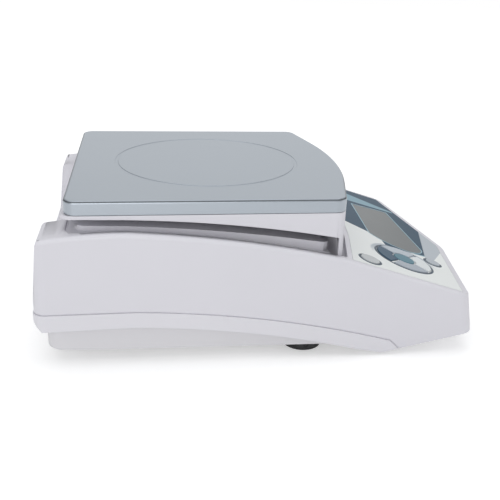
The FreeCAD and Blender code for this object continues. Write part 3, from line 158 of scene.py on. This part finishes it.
def round_edges(piece, test, width, segments=3, sharpness=25, profile=0.5):
    """Bevel the picked edges in edit mode; a profile of 0 cuts a step."""
    if not pick_edges(piece, test, sharpness):
        raise RuntimeError(f"{piece.name}: no edge to round")
    bpy.ops.object.mode_set(mode="EDIT")
    bpy.ops.mesh.select_mode(type="EDGE")
    bpy.ops.mesh.bevel(offset=width * MM, offset_type="OFFSET", segments=segments, profile=profile,
                       affect="EDGES", clamp_overlap=False, miter_outer="ARC")
    bpy.ops.object.mode_set(mode="OBJECT")


def smooth(piece, angle=32):
    """Smooth shading that keeps flat faces flat."""
    activate(piece)
    bpy.ops.object.shade_smooth_by_angle(angle=math.radians(angle))
    weighted = piece.modifiers.new("even_normals", "WEIGHTED_NORMAL")
    weighted.keep_sharp = True
    bpy.ops.object.modifier_apply(modifier=weighted.name)


def finish_piece(piece, body, material, stands_for=()):
    """Give a piece its material and its body, and hide the nodes it stands for."""
    piece.data.materials.clear()
    piece.data.materials.append(material)
    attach(piece, body)
    if stands_for:
        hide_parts(*stands_for)
    return piece


def dress_node(node, material):
    """Give a CAD node a procedural material."""
    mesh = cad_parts[node].data
    if not mesh.materials:
        mesh.materials.append(material)
    for i in range(len(mesh.materials)):
        mesh.materials[i] = material
    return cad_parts[node]


def bake_place(piece):
    """Move an object's place into its mesh."""
    activate(piece)
    bpy.ops.object.transform_apply(location=True, rotation=True, scale=True)


def lay_on_panel(piece):
    """Tilt a baked mesh, drawn flat at the world origin, onto the panel."""
    turned = PANEL_FRAME.copy()
    turned.translation = (turned.translation + LAYOUT_SHIFT) * MM
    piece.matrix_world = turned
    bake_place(piece)


# Shader maths

class Value:
    """A shader socket that adds up like a number."""

    def __init__(self, paint, socket):
        self.paint = paint
        self.socket = socket

    def math(self, operation, *others, clamp=False):
        made = self.paint.node("ShaderNodeMath", dict(enumerate((self, *others))), operation=operation,
                               use_clamp=clamp)
        return Value(self.paint, made.outputs[0])

    def __add__(self, other):
        return self.math("ADD", other)

    __radd__ = __add__

    def __mul__(self, other):
        return self.math("MULTIPLY", other)

    __rmul__ = __mul__

    def __sub__(self, other):
        return self.math("SUBTRACT", other)

    def __rsub__(self, other):
        return (self * -1) + other

    def __truediv__(self, other):
        return self.math("DIVIDE", other)

    def __pow__(self, other):
        return self.math("POWER", other)

    def step(self, edge, soft):
        """0 below an edge, 1 above it, over a soft width."""
        return ((self - edge) / soft + 0.5).math("ADD", 0.0, clamp=True)

    def root(self):
        return self.math("SQRT")

    def least(self, other):
        return self.math("MINIMUM", other)

    def most(self, other):
        return self.math("MAXIMUM", other)

    def size(self):
        return self.math("ABSOLUTE")


class Paint:
    """A node material under construction."""

    def __init__(self, name):
        self.material = bpy.data.materials.new(name)
        self.material.use_nodes = True
        self.tree = self.material.node_tree
        self.tree.nodes.clear()
        self.output = self.tree.nodes.new("ShaderNodeOutputMaterial")
        self.place = self.tree.nodes.new("ShaderNodeTexCoord").outputs["Object"]

    def feed(self, socket, item):
        """Set a socket to a number or colour, or link it."""
        if isinstance(item, Value):
            self.tree.links.new(item.socket, socket)
        elif isinstance(item, bpy.types.NodeSocket):
            self.tree.links.new(item, socket)
        else:
            socket.default_value = item

    def node(self, kind, sockets=None, stops=None, **options):
        """Any node: its options first, then its sockets."""
        made = self.tree.nodes.new(kind)
        for key, item in options.items():
            setattr(made, key, item)
        if stops:
            ramp = made.color_ramp
            while len(ramp.elements) < len(stops):
                ramp.elements.new(0.5)
            for element, (place, colour) in zip(ramp.elements, stops):
                element.position = place
                element.color = colour
        for key, item in (sockets or {}).items():
            self.feed(made.inputs[key], item)
        return made

    def axes(self):
        """Object coordinates in millimetres from the layout line as three values."""
        parts = self.node("ShaderNodeSeparateXYZ", {"Vector": self.place})
        return [Value(self, parts.outputs[i]) * 1000 - LAYOUT_SHIFT[i] for i in range(3)]

    def noise(self, scale, detail=3.0, roughness=0.55, stretch=(1, 1, 1)):
        """Noise with its scale per metre, from 0 to 1."""
        mapped = self.node("ShaderNodeMapping", {"Vector": self.place, "Scale": stretch})
        made = self.node("ShaderNodeTexNoise", {"Vector": mapped.outputs[0], "Scale": scale,
                                                "Detail": detail, "Roughness": roughness})
        return Value(self, made.outputs["Fac"])

    def mix(self, factor, first, second):
        """Blend of two colours."""
        made = self.node("ShaderNodeMix", {0: factor, 6: first, 7: second}, data_type="RGBA")
        return made.outputs[2]

    def surface(self, colour, roughness, bump=None, bump_depth=0.00002, **constants):
        """Principled surface with an optional bump."""
        sockets = {"Base Color": colour, "Roughness": roughness}
        for key, item in constants.items():
            sockets[key.replace("_", " ")] = item
        shader = self.node("ShaderNodeBsdfPrincipled", sockets)
        if bump is not None:
            raised = self.node("ShaderNodeBump", {"Height": bump, "Strength": 1.0, "Distance": bump_depth})
            self.feed(shader.inputs["Normal"], raised.outputs["Normal"])
        self.tree.links.new(shader.outputs["BSDF"], self.output.inputs["Surface"])
        return self.material


def shade(colour, factor):
    """A colour made lighter or darker."""
    return tuple(min(1.0, part * factor) for part in colour[:3]) + (1.0,)


def moulded_plastic(name, colour, grain=2600, gloss=0.42, depth=0.000012, shine=0.5):
    """Fine-grained moulded plastic with faint clouding."""
    paint = Paint(name)
    grain_value = paint.noise(grain, detail=2.0)
    cloud = paint.noise(14, detail=2.0)
    tint = paint.mix(cloud, shade(colour, 0.975), shade(colour, 1.02))
    rough = gloss + (paint.noise(90, detail=3.0) - 0.5) * 0.08
    return paint.surface(tint, rough, bump=grain_value, bump_depth=depth, Specular_IOR_Level=shine)


def satin_steel(name, colour, run=(1, 60, 60), gloss=0.34, metal=1.0, painted_rim_shade=None):
    """Brushed steel whose fine lines run across; given two heights round a rim, it paints shade on the rim
    below the upper height and a dark reflection line between the two heights.
    """
    paint = Paint(name)
    lines = paint.noise(160, detail=4.0, roughness=0.7, stretch=run)
    cloud = paint.noise(9, detail=2.0)
    tint = paint.mix(cloud, shade(colour, 0.97), shade(colour, 1.03))
    tone = paint.mix(lines, shade(colour, 0.95), tint)
    # Painted shade and a painted reflection line round the rim of the pan
    if painted_rim_shade:
        x, y, z = paint.axes()
        low, high = painted_rim_shade
        # leave out the middle of the pan, within 72 mm of its centre
        z = z.most((1 - (x ** 2.0 + (y - PAN_CENTRE_Y) ** 2.0).root().step(72.0, 0.5)) * 200)
        # painted shade: the rim below the upper height is darkened to 86 %
        tone = paint.mix((z * -1).step(-high, 0.15), tone, shade(colour, 0.86))
        # painted reflection: a dark line between the two heights, where the rounded edge would mirror dark
        # surroundings
        tone = paint.mix(z.step(low, 0.15) * (z * -1).step(-high, 0.15), tone, shade(colour, 0.35))
    rough = gloss + (lines - 0.5) * 0.12
    return paint.surface(tone, rough, bump=lines, bump_depth=0.000006, Metallic=metal)


def soft_rubber(name, colour):
    """Matt rubber with dusty patches."""
    paint = Paint(name)
    dust = paint.noise(260, detail=4.0)
    tint = paint.mix(dust, shade(colour, 0.8), shade(colour, 1.5))
    return paint.surface(tint, 0.62 + dust * 0.2, bump=paint.noise(3200, detail=2.0), bump_depth=0.00002)


def circuit_board(name, colour):
    """Green board with lighter tracks."""
    paint = Paint(name)
    weave = paint.node("ShaderNodeTexBrick", {"Vector": paint.place, "Scale": 130.0,
                                              "Color1": (0, 0, 0, 1), "Color2": (0.25, 0.25, 0.25, 1),
                                              "Mortar": (1, 1, 1, 1), "Mortar Size": 0.012})
    track = Value(paint, weave.outputs["Fac"])
    tint = paint.mix(track, shade(colour, 1.0), shade(colour, 2.2))
    return paint.surface(tint, 0.38 + paint.noise(60) * 0.1, bump=track, bump_depth=0.00003)


# Printed colours of the sloping panel, by place in millimetres from the origin

def printed_panel(name, colours):
    """Overlay film: pale ground, dark field round the display, grey sweep and a pale blue band."""
    white, navy, grey, blue = colours
    paint = Paint(name)
    x, y, z = paint.axes()
    edge = 0.25
    # dark field: everything right of the slanting line and behind the front line
    slant = (x + 12.0) * 10.3 + (y + 74.0) * -8.0
    curve_x, curve_y, curve_radius = FIELD_CURVE
    curve = ((x - curve_x) ** 2.0 + (y - curve_y) ** 2.0).root()
    beside = (curve_radius - curve).step(0.0, edge)
    behind = slant.step(0.0, 4.0)
    front = (y + 128.1 + (x + 26.7) * 0.30).step(0.0, edge)
    dark = beside * behind.most((y * -1).step(92.0, edge)) * front
    # grey sweep in front of the dark field and round the key ring
    ring_x, ring_y, ring_radius = KEY_RING
    ring = ((x - ring_x) ** 2.0 + ((y - ring_y) * PANEL_STRETCH) ** 2.0).root()
    halo = (HALO_RADIUS - ring).step(0.0, 1.5) * (x + 62.0).step(0.0, 14.0)
    left_of_front = (y + 128.7 + (x + 47.1) * 0.60).step(0.0, edge)
    wedge = (1 - front) * left_of_front * (x + 50.0).step(0.0, edge)
    sweep = halo.most(wedge) * (1 - dark)
    # pale blue band along the far side of the display
    near = (x - 62.5 + (y + 92.0) * 0.05).step(0.0, edge)
    far = (x * -1 + 88.0 + (y + 92.0) * 0.48).step(0.0, 1.5)
    band = near * far * (y * -1).step(60.0, 6.0) * (y + 134.0).step(0.0, edge) * 0.75
    # thin pale outline of the dark field
    rim = (1 - (curve - curve_radius).size().step(0.9, edge)) * behind * front
    print_one = paint.mix(sweep, white, grey)
    print_two = paint.mix(dark, print_one, navy)
    print_three = paint.mix(band, print_two, blue)
    print_four = paint.mix(rim, print_three, blue)
    # dark outlines of the key ring and of the two round keys
    outline = (ring - ring_radius).size()
    for key_x, key_y, radius in ROUND_KEYS:
        reach = ((x - key_x) ** 2.0 + ((y - key_y) * PANEL_STRETCH) ** 2.0).root()
        outline = outline.least((reach - radius).size())
    colour = paint.mix(1 - outline.step(0.8, 0.3), print_four, shade(navy, 0.8))
    fine = paint.noise(1800, detail=2.0)
    return paint.surface(colour, 0.42 + (fine - 0.5) * 0.08, bump=fine, bump_depth=0.000006,
                         Specular_IOR_Level=0.08)


def display_face(name, colour):
    """Unlit liquid-crystal window with faint cell rows."""
    paint = Paint(name)
    y = paint.axes()[1]
    grid = paint.node("ShaderNodeTexBrick", {"Vector": paint.place, "Scale": 900.0,
                                             "Color1": (0, 0, 0, 1), "Color2": (0.15, 0.15, 0.15, 1),
                                             "Mortar": (1, 1, 1, 1), "Mortar Size": 0.02})
    rows = Value(paint, grid.outputs["Fac"])
    fade = (y + 126.0) / 42.0
    tint = paint.mix(fade, shade(colour, 0.97), shade(colour, 1.05))
    tone = paint.mix(rows * 0.25, tint, shade(colour, 0.8))
    return paint.surface(tone, 0.30 + paint.noise(40) * 0.05, Specular_IOR_Level=0.08)


def key_plastic(name, colour):
    """Soft-touch key cap."""
    return moulded_plastic(name, colour, grain=3400, gloss=0.46, depth=0.000008, shine=0.25)


# Values a user would change

def colour_value(label, words, default):
    """Colour property with an alpha of one."""
    return bpy.props.FloatVectorProperty(name=label, description=words, subtype="COLOR", size=4,
                                         min=0.0, max=1.0, default=default)


class BalanceValues(bpy.types.PropertyGroup):
    """Sizes and colours of the balance's finish."""

    casing_colour: colour_value("Casing", "Upper housing and pan carrier", (0.71, 0.70, 0.745, 1))
    shell_colour: colour_value("Lower shell", "Band under the seam", (0.73, 0.72, 0.76, 1))
    base_colour: colour_value("Base", "Recessed base tray", (0.72, 0.71, 0.735, 1))
    pan_colour: colour_value("Pan", "Satin steel pan", (0.44, 0.48, 0.525, 1))
    film_colour: colour_value("Film", "Pale ground of the panel film", (0.83, 0.85, 0.84, 1))
    dark_colour: colour_value("Dark field", "Field round the display", (0.055, 0.098, 0.143, 1))
    sweep_colour: colour_value("Sweep", "Grey sweep of the film", (0.50, 0.54, 0.58, 1))
    line_colour: colour_value("Lines", "Pale blue lines of the film", (0.33, 0.50, 0.58, 1))
    display_colour: colour_value("Display", "Unlit display", (0.205, 0.215, 0.217, 1))
    crown_round: bpy.props.FloatProperty(name="Crown rounding",
                                         description="Rounding of the casing's top edges in millimetres",
                                         default=2.6, min=0.5, max=4.0)


class BALANCE_OT_casing(bpy.types.Operator):
    """Rounds and finishes the upper housing"""

    bl_idname = "balance.casing"
    bl_label = "Upper housing"

    def execute(self, context):
        values = settings()
        piece = copy_node("upper_casing", "upper_housing")

        def crown(middle, run):
            x, y, z = middle
            along_side = abs(abs(x) - CASING_HALF) < 0.05 and z > 40 and abs(run.y) > abs(run.z)
            across_back = y > 135 and z > 84 and abs(abs(x) - 69.5) > 0.1
            return along_side or across_back

        def nose(middle, run):
            x, y, z = middle
            tip = NOSE_EDGE_Y - NOSE_EDGE_SLOPE * (CASING_HALF - abs(x))
            return abs(y - tip) < 0.8 and abs(x) < 97 and z > 30

        def seam(middle, run):
            x, y, z = middle
            wide = abs(x) - (CASING_HALF - CASING_CORNER)
            deep = y - (CASING_BACK - CASING_CORNER)
            reach = math.hypot(wide, deep) if wide > 0 and deep > 0 else max(wide, deep)
            on_outline = abs(reach - CASING_CORNER) < 0.1
            return on_outline and y > -87 and z < 39 and abs(run.z) < abs(run.x) + abs(run.y)

        round_edges(piece, seam, 0.8, segments=2, profile=0.0)
        round_edges(piece, crown, values.crown_round, segments=5)
        round_edges(piece, nose, 1.6, segments=4)
        smooth(piece)
        finish_piece(piece, "casing", moulded_plastic("casing_plastic", values.casing_colour),
                     ["upper_housing"])
        return {"FINISHED"}


class BALANCE_OT_lower_shell(bpy.types.Operator):
    """Rounds and finishes the lower shell and the base tray"""

    bl_idname = "balance.lower_shell"
    bl_label = "Lower shell and base"

    def execute(self, context):
        values = settings()
        shell = copy_node("lower_band", "lower_shell")

        def seam_edge(middle, run):
            return abs(abs(middle.x) - SHELL_HALF) < 0.05 and abs(run.y) > abs(run.z)

        round_edges(shell, seam_edge, 0.3, segments=2)
        smooth(shell)
        finish_piece(shell, "casing", moulded_plastic("shell_plastic", values.shell_colour),
                     ["lower_shell"])
        base = copy_node("base_pan", "base_tray")

        def foot_line(middle, run):
            return middle.z < 10.5 and (abs(middle.x) > 94 or middle.y > 140) and abs(run.z) < 1.2

        round_edges(base, foot_line, 1.4, segments=3)
        smooth(base)
        base_plastic = moulded_plastic("base_plastic", values.base_colour, grain=1800)
        finish_piece(base, "casing", base_plastic, ["base_tray"])
        return {"FINISHED"}


class BALANCE_OT_pan(bpy.types.Operator):
    """Finishes the steel pan and its carrier"""

    bl_idname = "balance.pan"
    bl_label = "Pan and carrier"

    def execute(self, context):
        values = settings()
        pan = copy_node("steel_pan", "weighing_pan")

        def rim(middle, run):
            return middle.z < 99.6

        round_edges(pan, rim, 0.25, segments=2)

        def pressed_ring(middle, run):
            reach = math.hypot(middle.x, middle.y - PAN_CENTRE_Y)
            return middle.z > 108.4 and 63 < reach < 67

        round_edges(pan, pressed_ring, 0.35, segments=2)
        smooth(pan, 40)
        # painted shade on the pan's rim below 108.2 mm, with a painted dark reflection line from 107.5 to
        # 108.2 mm
        steel = satin_steel("pan_steel", values.pan_colour, painted_rim_shade=(107.5, 108.2))
        finish_piece(pan, "pan", steel, ["weighing_pan"])
        carrier = copy_node("carrier_tray", "pan_carrier")

        def skirt(middle, run):
            outside = abs(abs(middle.x) - CARRIER_HALF) < 0.1 or middle.y > 132.9 or middle.y < -44
            return outside and abs(run.z) < 5 and middle.z < 99.3

        round_edges(carrier, skirt, 0.5, segments=2)
        smooth(carrier)
        finish_piece(carrier, "load_receiver", moulded_plastic("carrier_plastic", values.casing_colour),
                     ["pan_carrier"])
        dress_node("pan_bumpers", soft_rubber("bumper_rubber", (0.03, 0.03, 0.032)))
        dress_node("support_spindle", satin_steel("spindle_steel", (0.52, 0.52, 0.53), run=(40, 40, 1)))
        return {"FINISHED"}


class BALANCE_OT_panel(bpy.types.Operator):
    """Prints the panel film and finishes the display"""

    bl_idname = "balance.panel"
    bl_label = "Panel film and display"

    def execute(self, context):
        values = settings()
        colours = [tuple(values.film_colour), tuple(values.dark_colour), tuple(values.sweep_colour),
                   tuple(values.line_colour)]
        dress_node("panel_overlay", printed_panel("film_print", colours))
        window = copy_node("display_lens", "display_window")

        def face_edge(middle, run):
            return on_panel(middle).z > 0.05

        round_edges(window, face_edge, 0.15, segments=2)
        smooth(window)
        finish_piece(window, "casing", display_face("display_glass", values.display_colour),
                     ["display_window"])
        rim = copy_node("display_rim", "display_window")
        bpy.ops.object.mode_set(mode="EDIT")
        bpy.ops.mesh.select_mode(type="FACE")
        bpy.ops.mesh.select_all(action="SELECT")
        bpy.ops.object.mode_set(mode="OBJECT")
        for face in rim.data.polygons:
            face.select = on_panel(layout(face.center)).z < 0.05
        bpy.ops.object.mode_set(mode="EDIT")
        bpy.ops.mesh.delete(type="FACE")
        bpy.ops.mesh.select_all(action="SELECT")
        bpy.ops.mesh.inset(thickness=0.8 * MM, depth=0.0, use_boundary=True)
        bpy.ops.mesh.delete(type="FACE")
        bpy.ops.mesh.select_all(action="SELECT")
        bpy.ops.object.mode_set(mode="OBJECT")
        thick = rim.modifiers.new("line_height", "SOLIDIFY")
        thick.thickness = 0.12 * MM
        thick.offset = 1.0
        bpy.ops.object.modifier_apply(modifier=thick.name)
        smooth(rim)
        line_print = moulded_plastic("line_print", values.line_colour, grain=3000)
        finish_piece(rim, "casing", line_print)
        dress_node("display_module", moulded_plastic("module_plastic", (0.16, 0.17, 0.15, 1)))
        dress_node("key_switches", moulded_plastic("switch_plastic", (0.02, 0.02, 0.022, 1)))
        return {"FINISHED"}


KEY_COLOURS = {
    "key_right": (0.50, 0.55, 0.60, 1),
    "key_up": (0.065, 0.115, 0.170, 1),
    "key_left": (0.42, 0.46, 0.51, 1),
    "key_down": (0.74, 0.77, 0.78, 1),
    "key_enter": (0.12, 0.24, 0.30, 1),
    "key_tare": (0.56, 0.58, 0.59, 1),
    "key_power": (0.48, 0.52, 0.56, 1),
}


class BALANCE_OT_keys(bpy.types.Operator):
    """Rounds the keys and sets dark rings round them"""

    bl_idname = "balance.keys"
    bl_label = "Keys"

    def execute(self, context):
        for node, colour in KEY_COLOURS.items():
            cap = copy_node(node + "_cap", node)

            def top_edge(middle, run):
                return on_panel(middle).z > 0.8

            round_edges(cap, top_edge, 0.45, segments=3)
            smooth(cap)
            body = node[4:] + "_key"
            finish_piece(cap, body, key_plastic(node + "_plastic", colour), [node])
        dark = moulded_plastic("ring_print", (0.055, 0.085, 0.12, 1), grain=3000)
        for name, x, v, radius, width in (("ring_line", -65.0, 34.2, 21.3, 0.75),
                                          ("tare_line", -88.2, 68.2, 7.5, 0.55),
                                          ("power_line", -52.6, 5.8, 6.3, 0.5)):
            deselect_all()
            bpy.ops.mesh.primitive_torus_add(major_segments=72, minor_segments=10, major_radius=radius * MM,
                                             minor_radius=width * MM, location=(0, 0, 0))
            line = bpy.context.object
            line.name = name
            line.scale = (1, 1, 0.3)
            line.location = (x * MM, v * MM, 0.1 * MM)
            bake_place(line)
            lay_on_panel(line)
            smooth(line, 60)
            finish_piece(line, "casing", dark)
        return {"FINISHED"}


class BALANCE_OT_feet(bpy.types.Operator):
    """Finishes the screw feet and the rubber heels"""

    bl_idname = "balance.feet"
    bl_label = "Feet"

    def execute(self, context):
        wheel_plastic = moulded_plastic("wheel_plastic", (0.014, 0.014, 0.015, 1), grain=1500, gloss=0.5)
        pad_rubber = soft_rubber("pad_rubber", (0.018, 0.018, 0.019))
        for side in ("left", "right"):
            wheel = copy_node(f"screw_wheel_{side}", f"foot_wheel_{side}")

            def wheel_edge(middle, run):
                return (middle.z < 3.0 or abs(middle.z - 9.0) < 0.05) and abs(middle.x) > 60

            round_edges(wheel, wheel_edge, 0.35, segments=2)
            smooth(wheel)
            finish_piece(wheel, f"{side}_foot_wheel", wheel_plastic, [f"foot_wheel_{side}"])
            dress_node(f"foot_pad_{side}", pad_rubber)
        dress_node("heel_pads", soft_rubber("heel_rubber", (0.02, 0.02, 0.021)))
        dress_node("foot_inserts", satin_steel("insert_brass", (0.62, 0.45, 0.20), run=(40, 40, 1)))
        return {"FINISHED"}


class BALANCE_OT_rear_bay(bpy.types.Operator):
    """Finishes the sockets and the spirit level in the bay"""

    bl_idname = "balance.rear_bay"
    bl_label = "Sockets and level"

    def execute(self, context):
        dress_node("power_socket", moulded_plastic("socket_plastic", (0.02, 0.02, 0.022, 1), gloss=0.4))
        dress_node("serial_socket", satin_steel("socket_steel", (0.55, 0.55, 0.56), gloss=0.3))
        dress_node("level_housing", moulded_plastic("level_plastic", (0.02, 0.02, 0.022, 1), gloss=0.35))
        paint = Paint("level_liquid")
        x, y, z = paint.axes()
        reach = (x ** 2.0 + (y - LEVEL_Y) ** 2.0).root()
        circle = 1 - (reach - 2.4).size().step(0.2, 0.1)
        bubble = (1.7 - ((x - 0.3) ** 2.0 + (y - 143.2) ** 2.0).root()).step(0.0, 0.15)
        tint = paint.mix(bubble, (0.42, 0.58, 0.10, 1), (0.78, 0.86, 0.45, 1))
        tint = paint.mix(circle, tint, (0.01, 0.01, 0.01, 1))
        dress_node("level_vial", paint.surface(tint, 0.08 + paint.noise(60) * 0.03, Coat_Weight=1.0))
        screws = satin_steel("jack_screw_steel", (0.5, 0.5, 0.51), gloss=0.3)
        for name, x in (("jack_screw_a", -40.5), ("jack_screw_b", -15.5)):
            deselect_all()
            bpy.ops.mesh.primitive_cylinder_add(vertices=6, radius=2.5 * MM, depth=3.2 * MM,
                                                location=(Vector((x, 137.5, 65)) + LAYOUT_SHIFT) * MM,
                                                rotation=(math.radians(90), 0, 0))
            screw = bpy.context.object
            screw.name = name
            bake_place(screw)
            bpy.ops.object.mode_set(mode="EDIT")
            bpy.ops.mesh.select_mode(type="FACE")
            bpy.ops.mesh.select_all(action="DESELECT")
            bpy.ops.object.mode_set(mode="OBJECT")
            for face in screw.data.polygons:
                face.select = face.normal.y > 0.9
            bpy.ops.object.mode_set(mode="EDIT")
            bpy.ops.mesh.inset(thickness=0.9 * MM)
            bpy.ops.mesh.extrude_region_move(TRANSFORM_OT_translate={"value": (0, -1.8 * MM, 0)})
            bpy.ops.object.mode_set(mode="OBJECT")
            round_edges(screw, lambda middle, run: middle.y > 139 and abs(run.y) < 0.1, 0.2, segments=2)
            smooth(screw)
            finish_piece(screw, "casing", screws)
        return {"FINISHED"}


class BALANCE_OT_inner_parts(bpy.types.Operator):
    """Finishes the parts inside the casing"""

    bl_idname = "balance.inner_parts"
    bl_label = "Inner parts"

    def execute(self, context):
        aluminium = satin_steel("cell_aluminium", (0.66, 0.67, 0.69), run=(60, 1, 60), gloss=0.38)
        cast = satin_steel("plate_aluminium", (0.55, 0.56, 0.58), run=(8, 8, 8), gloss=0.55)
        steel = satin_steel("screw_steel", (0.42, 0.42, 0.44), run=(30, 30, 4), gloss=0.33)
        board = circuit_board("board_green", (0.016, 0.085, 0.035))
        for node in ("load_cell_beam", "spindle_adapter"):
            dress_node(node, aluminium)
        for node in ("cell_support_block", "cell_base_plate"):
            dress_node(node, cast)
        for node in ("cell_screws", "plate_screws", "overload_stop", "overload_spring", "case_screws",
                     "panel_screws", "board_screws"):
            dress_node(node, steel)
        for node in ("panel_board", "main_board", "socket_board"):
            dress_node(node, board)
        dress_node("ribbon_cable", moulded_plastic("ribbon_plastic", (0.35, 0.35, 0.37, 1)))
        return {"FINISHED"}


# Soft lamps: name, place and aim in metres, size in metres, power in watts
LAMPS = (("soft_top", (0.0, 0.1, 1.3), (0, 0, 0), 1.6, 6.8),
         ("soft_left", (-1.5, 0.5, 0.30), (0, 0, 0.06), 1.3, 10.5),
         ("soft_front", (-0.2, -1.5, 0.5), (0, 0, 0.05), 1.2, 2.4),
         ("soft_right", (1.5, -0.2, 0.62), (0, 0, 0.1), 1.4, 2.4))

# Camera: place in millimetres from the layout line, its axes and its lens
CAMERA_PLACE = Vector((-519.22, 80.32, 247.66))
CAMERA_FORWARD = Vector((0.9174, -0.1394, -0.3728)).normalized()
CAMERA_RIGHT = Vector((-0.1364, -0.9901, 0.0345)).normalized()
CAMERA_LENS = 52.52


class BALANCE_OT_stage(bpy.types.Operator):
    """Adds the floor, the lights and the camera"""

    bl_idname = "balance.stage"
    bl_label = "Stage"

    def execute(self, context):
        scene = context.scene
        scene.view_settings.view_transform = "Standard"
        deselect_all()
        bpy.ops.mesh.primitive_plane_add(size=8.0, location=(0, 0, 0))
        floor = context.object
        floor.name = "floor"
        paint = Paint("floor_paper")
        path = paint.node("ShaderNodeLightPath")
        seen = Value(paint, path.outputs["Is Camera Ray"]).most(Value(paint, path.outputs["Is Glossy Ray"]))
        seen = seen.most(Value(paint, path.outputs["Is Transmission Ray"]))
        matt = paint.node("ShaderNodeBsdfDiffuse", {"Color": (0.80, 0.80, 0.80, 1)})
        x, y, z = paint.axes()
        away = (x ** 2.0 + y ** 2.0).root().step(1100.0, 1600.0)
        glow = paint.node("ShaderNodeEmission", {"Color": (1, 1, 1, 1),
                                                 "Strength": seen * (away * 0.25 + 0.40)})
        both = paint.node("ShaderNodeAddShader", {0: matt.outputs[0], 1: glow.outputs[0]})
        paint.tree.links.new(both.outputs[0], paint.output.inputs["Surface"])
        floor.data.materials.append(paint.material)

        world = bpy.data.worlds.new("studio")
        scene.world = world
        world.use_nodes = True
        tree = world.node_tree
        tree.nodes.clear()
        shown = tree.nodes.new("ShaderNodeLightPath")
        plain = tree.nodes.new("ShaderNodeBackground")
        plain.inputs["Color"].default_value = (0.97, 0.985, 1.0, 1)
        plain.inputs["Strength"].default_value = 0.52
        white = tree.nodes.new("ShaderNodeBackground")
        white.inputs["Strength"].default_value = 1.0
        white.inputs["Color"].default_value = (1, 1, 1, 1)
        chosen = tree.nodes.new("ShaderNodeMixShader")
        out = tree.nodes.new("ShaderNodeOutputWorld")
        tree.links.new(shown.outputs["Is Camera Ray"], chosen.inputs[0])
        tree.links.new(plain.outputs[0], chosen.inputs[1])
        tree.links.new(white.outputs[0], chosen.inputs[2])
        tree.links.new(chosen.outputs[0], out.inputs["Surface"])

        for name, place, aim, size, power in LAMPS:
            light = bpy.data.lights.new(name, "AREA")
            light.size = size
            light.energy = power
            lamp = bpy.data.objects.new(name, light)
            lamp.location = place
            lamp.visible_camera = False
            lamp.rotation_euler = (Vector(aim) - Vector(place)).to_track_quat("-Z", "Y").to_euler()
            scene.collection.objects.link(lamp)

        lens = bpy.data.cameras.new("camera")
        lens.lens = CAMERA_LENS
        lens.sensor_width = 36.0
        lens.clip_start = 0.02
        camera = bpy.data.objects.new("camera", lens)
        up = CAMERA_RIGHT.cross(CAMERA_FORWARD)
        turn = Matrix((CAMERA_RIGHT, up, -CAMERA_FORWARD)).transposed().to_4x4()
        camera.matrix_world = Matrix.Translation((CAMERA_PLACE + LAYOUT_SHIFT) * MM) @ turn
        scene.collection.objects.link(camera)
        scene.camera = camera
        return {"FINISHED"}


class BALANCE_PT_parts(bpy.types.Panel):
    """Lists the pieces of the balance"""

    bl_idname = "BALANCE_PT_parts"
    bl_label = "Laboratory Balance"
    bl_space_type = "VIEW_3D"
    bl_region_type = "UI"
    bl_category = "Balance"

    def draw(self, context):
        for value in BalanceValues.__annotations__:
            self.layout.prop(context.scene.balance, value)
        for piece in PIECES:
            self.layout.operator(piece.bl_idname)


PIECES = (BALANCE_OT_casing, BALANCE_OT_lower_shell, BALANCE_OT_pan, BALANCE_OT_panel, BALANCE_OT_keys,
          BALANCE_OT_feet, BALANCE_OT_rear_bay, BALANCE_OT_inner_parts, BALANCE_OT_stage)
CLASSES = (BalanceValues, *PIECES, BALANCE_PT_parts)


def register():
    """Register the add-on's classes."""
    for item in CLASSES:
        bpy.utils.register_class(item)
    bpy.types.Scene.balance = bpy.props.PointerProperty(type=BalanceValues)


def unregister():
    """Remove the add-on's classes."""
    del bpy.types.Scene.balance
    for item in reversed(CLASSES):
        bpy.utils.unregister_class(item)


def main():
    """Build every piece in order."""
    register()
    for piece in PIECES:
        group, name = piece.bl_idname.split(".")
        getattr(getattr(bpy.ops, group), name)()
    deselect_all()


if __name__ == "__main__":
    main()
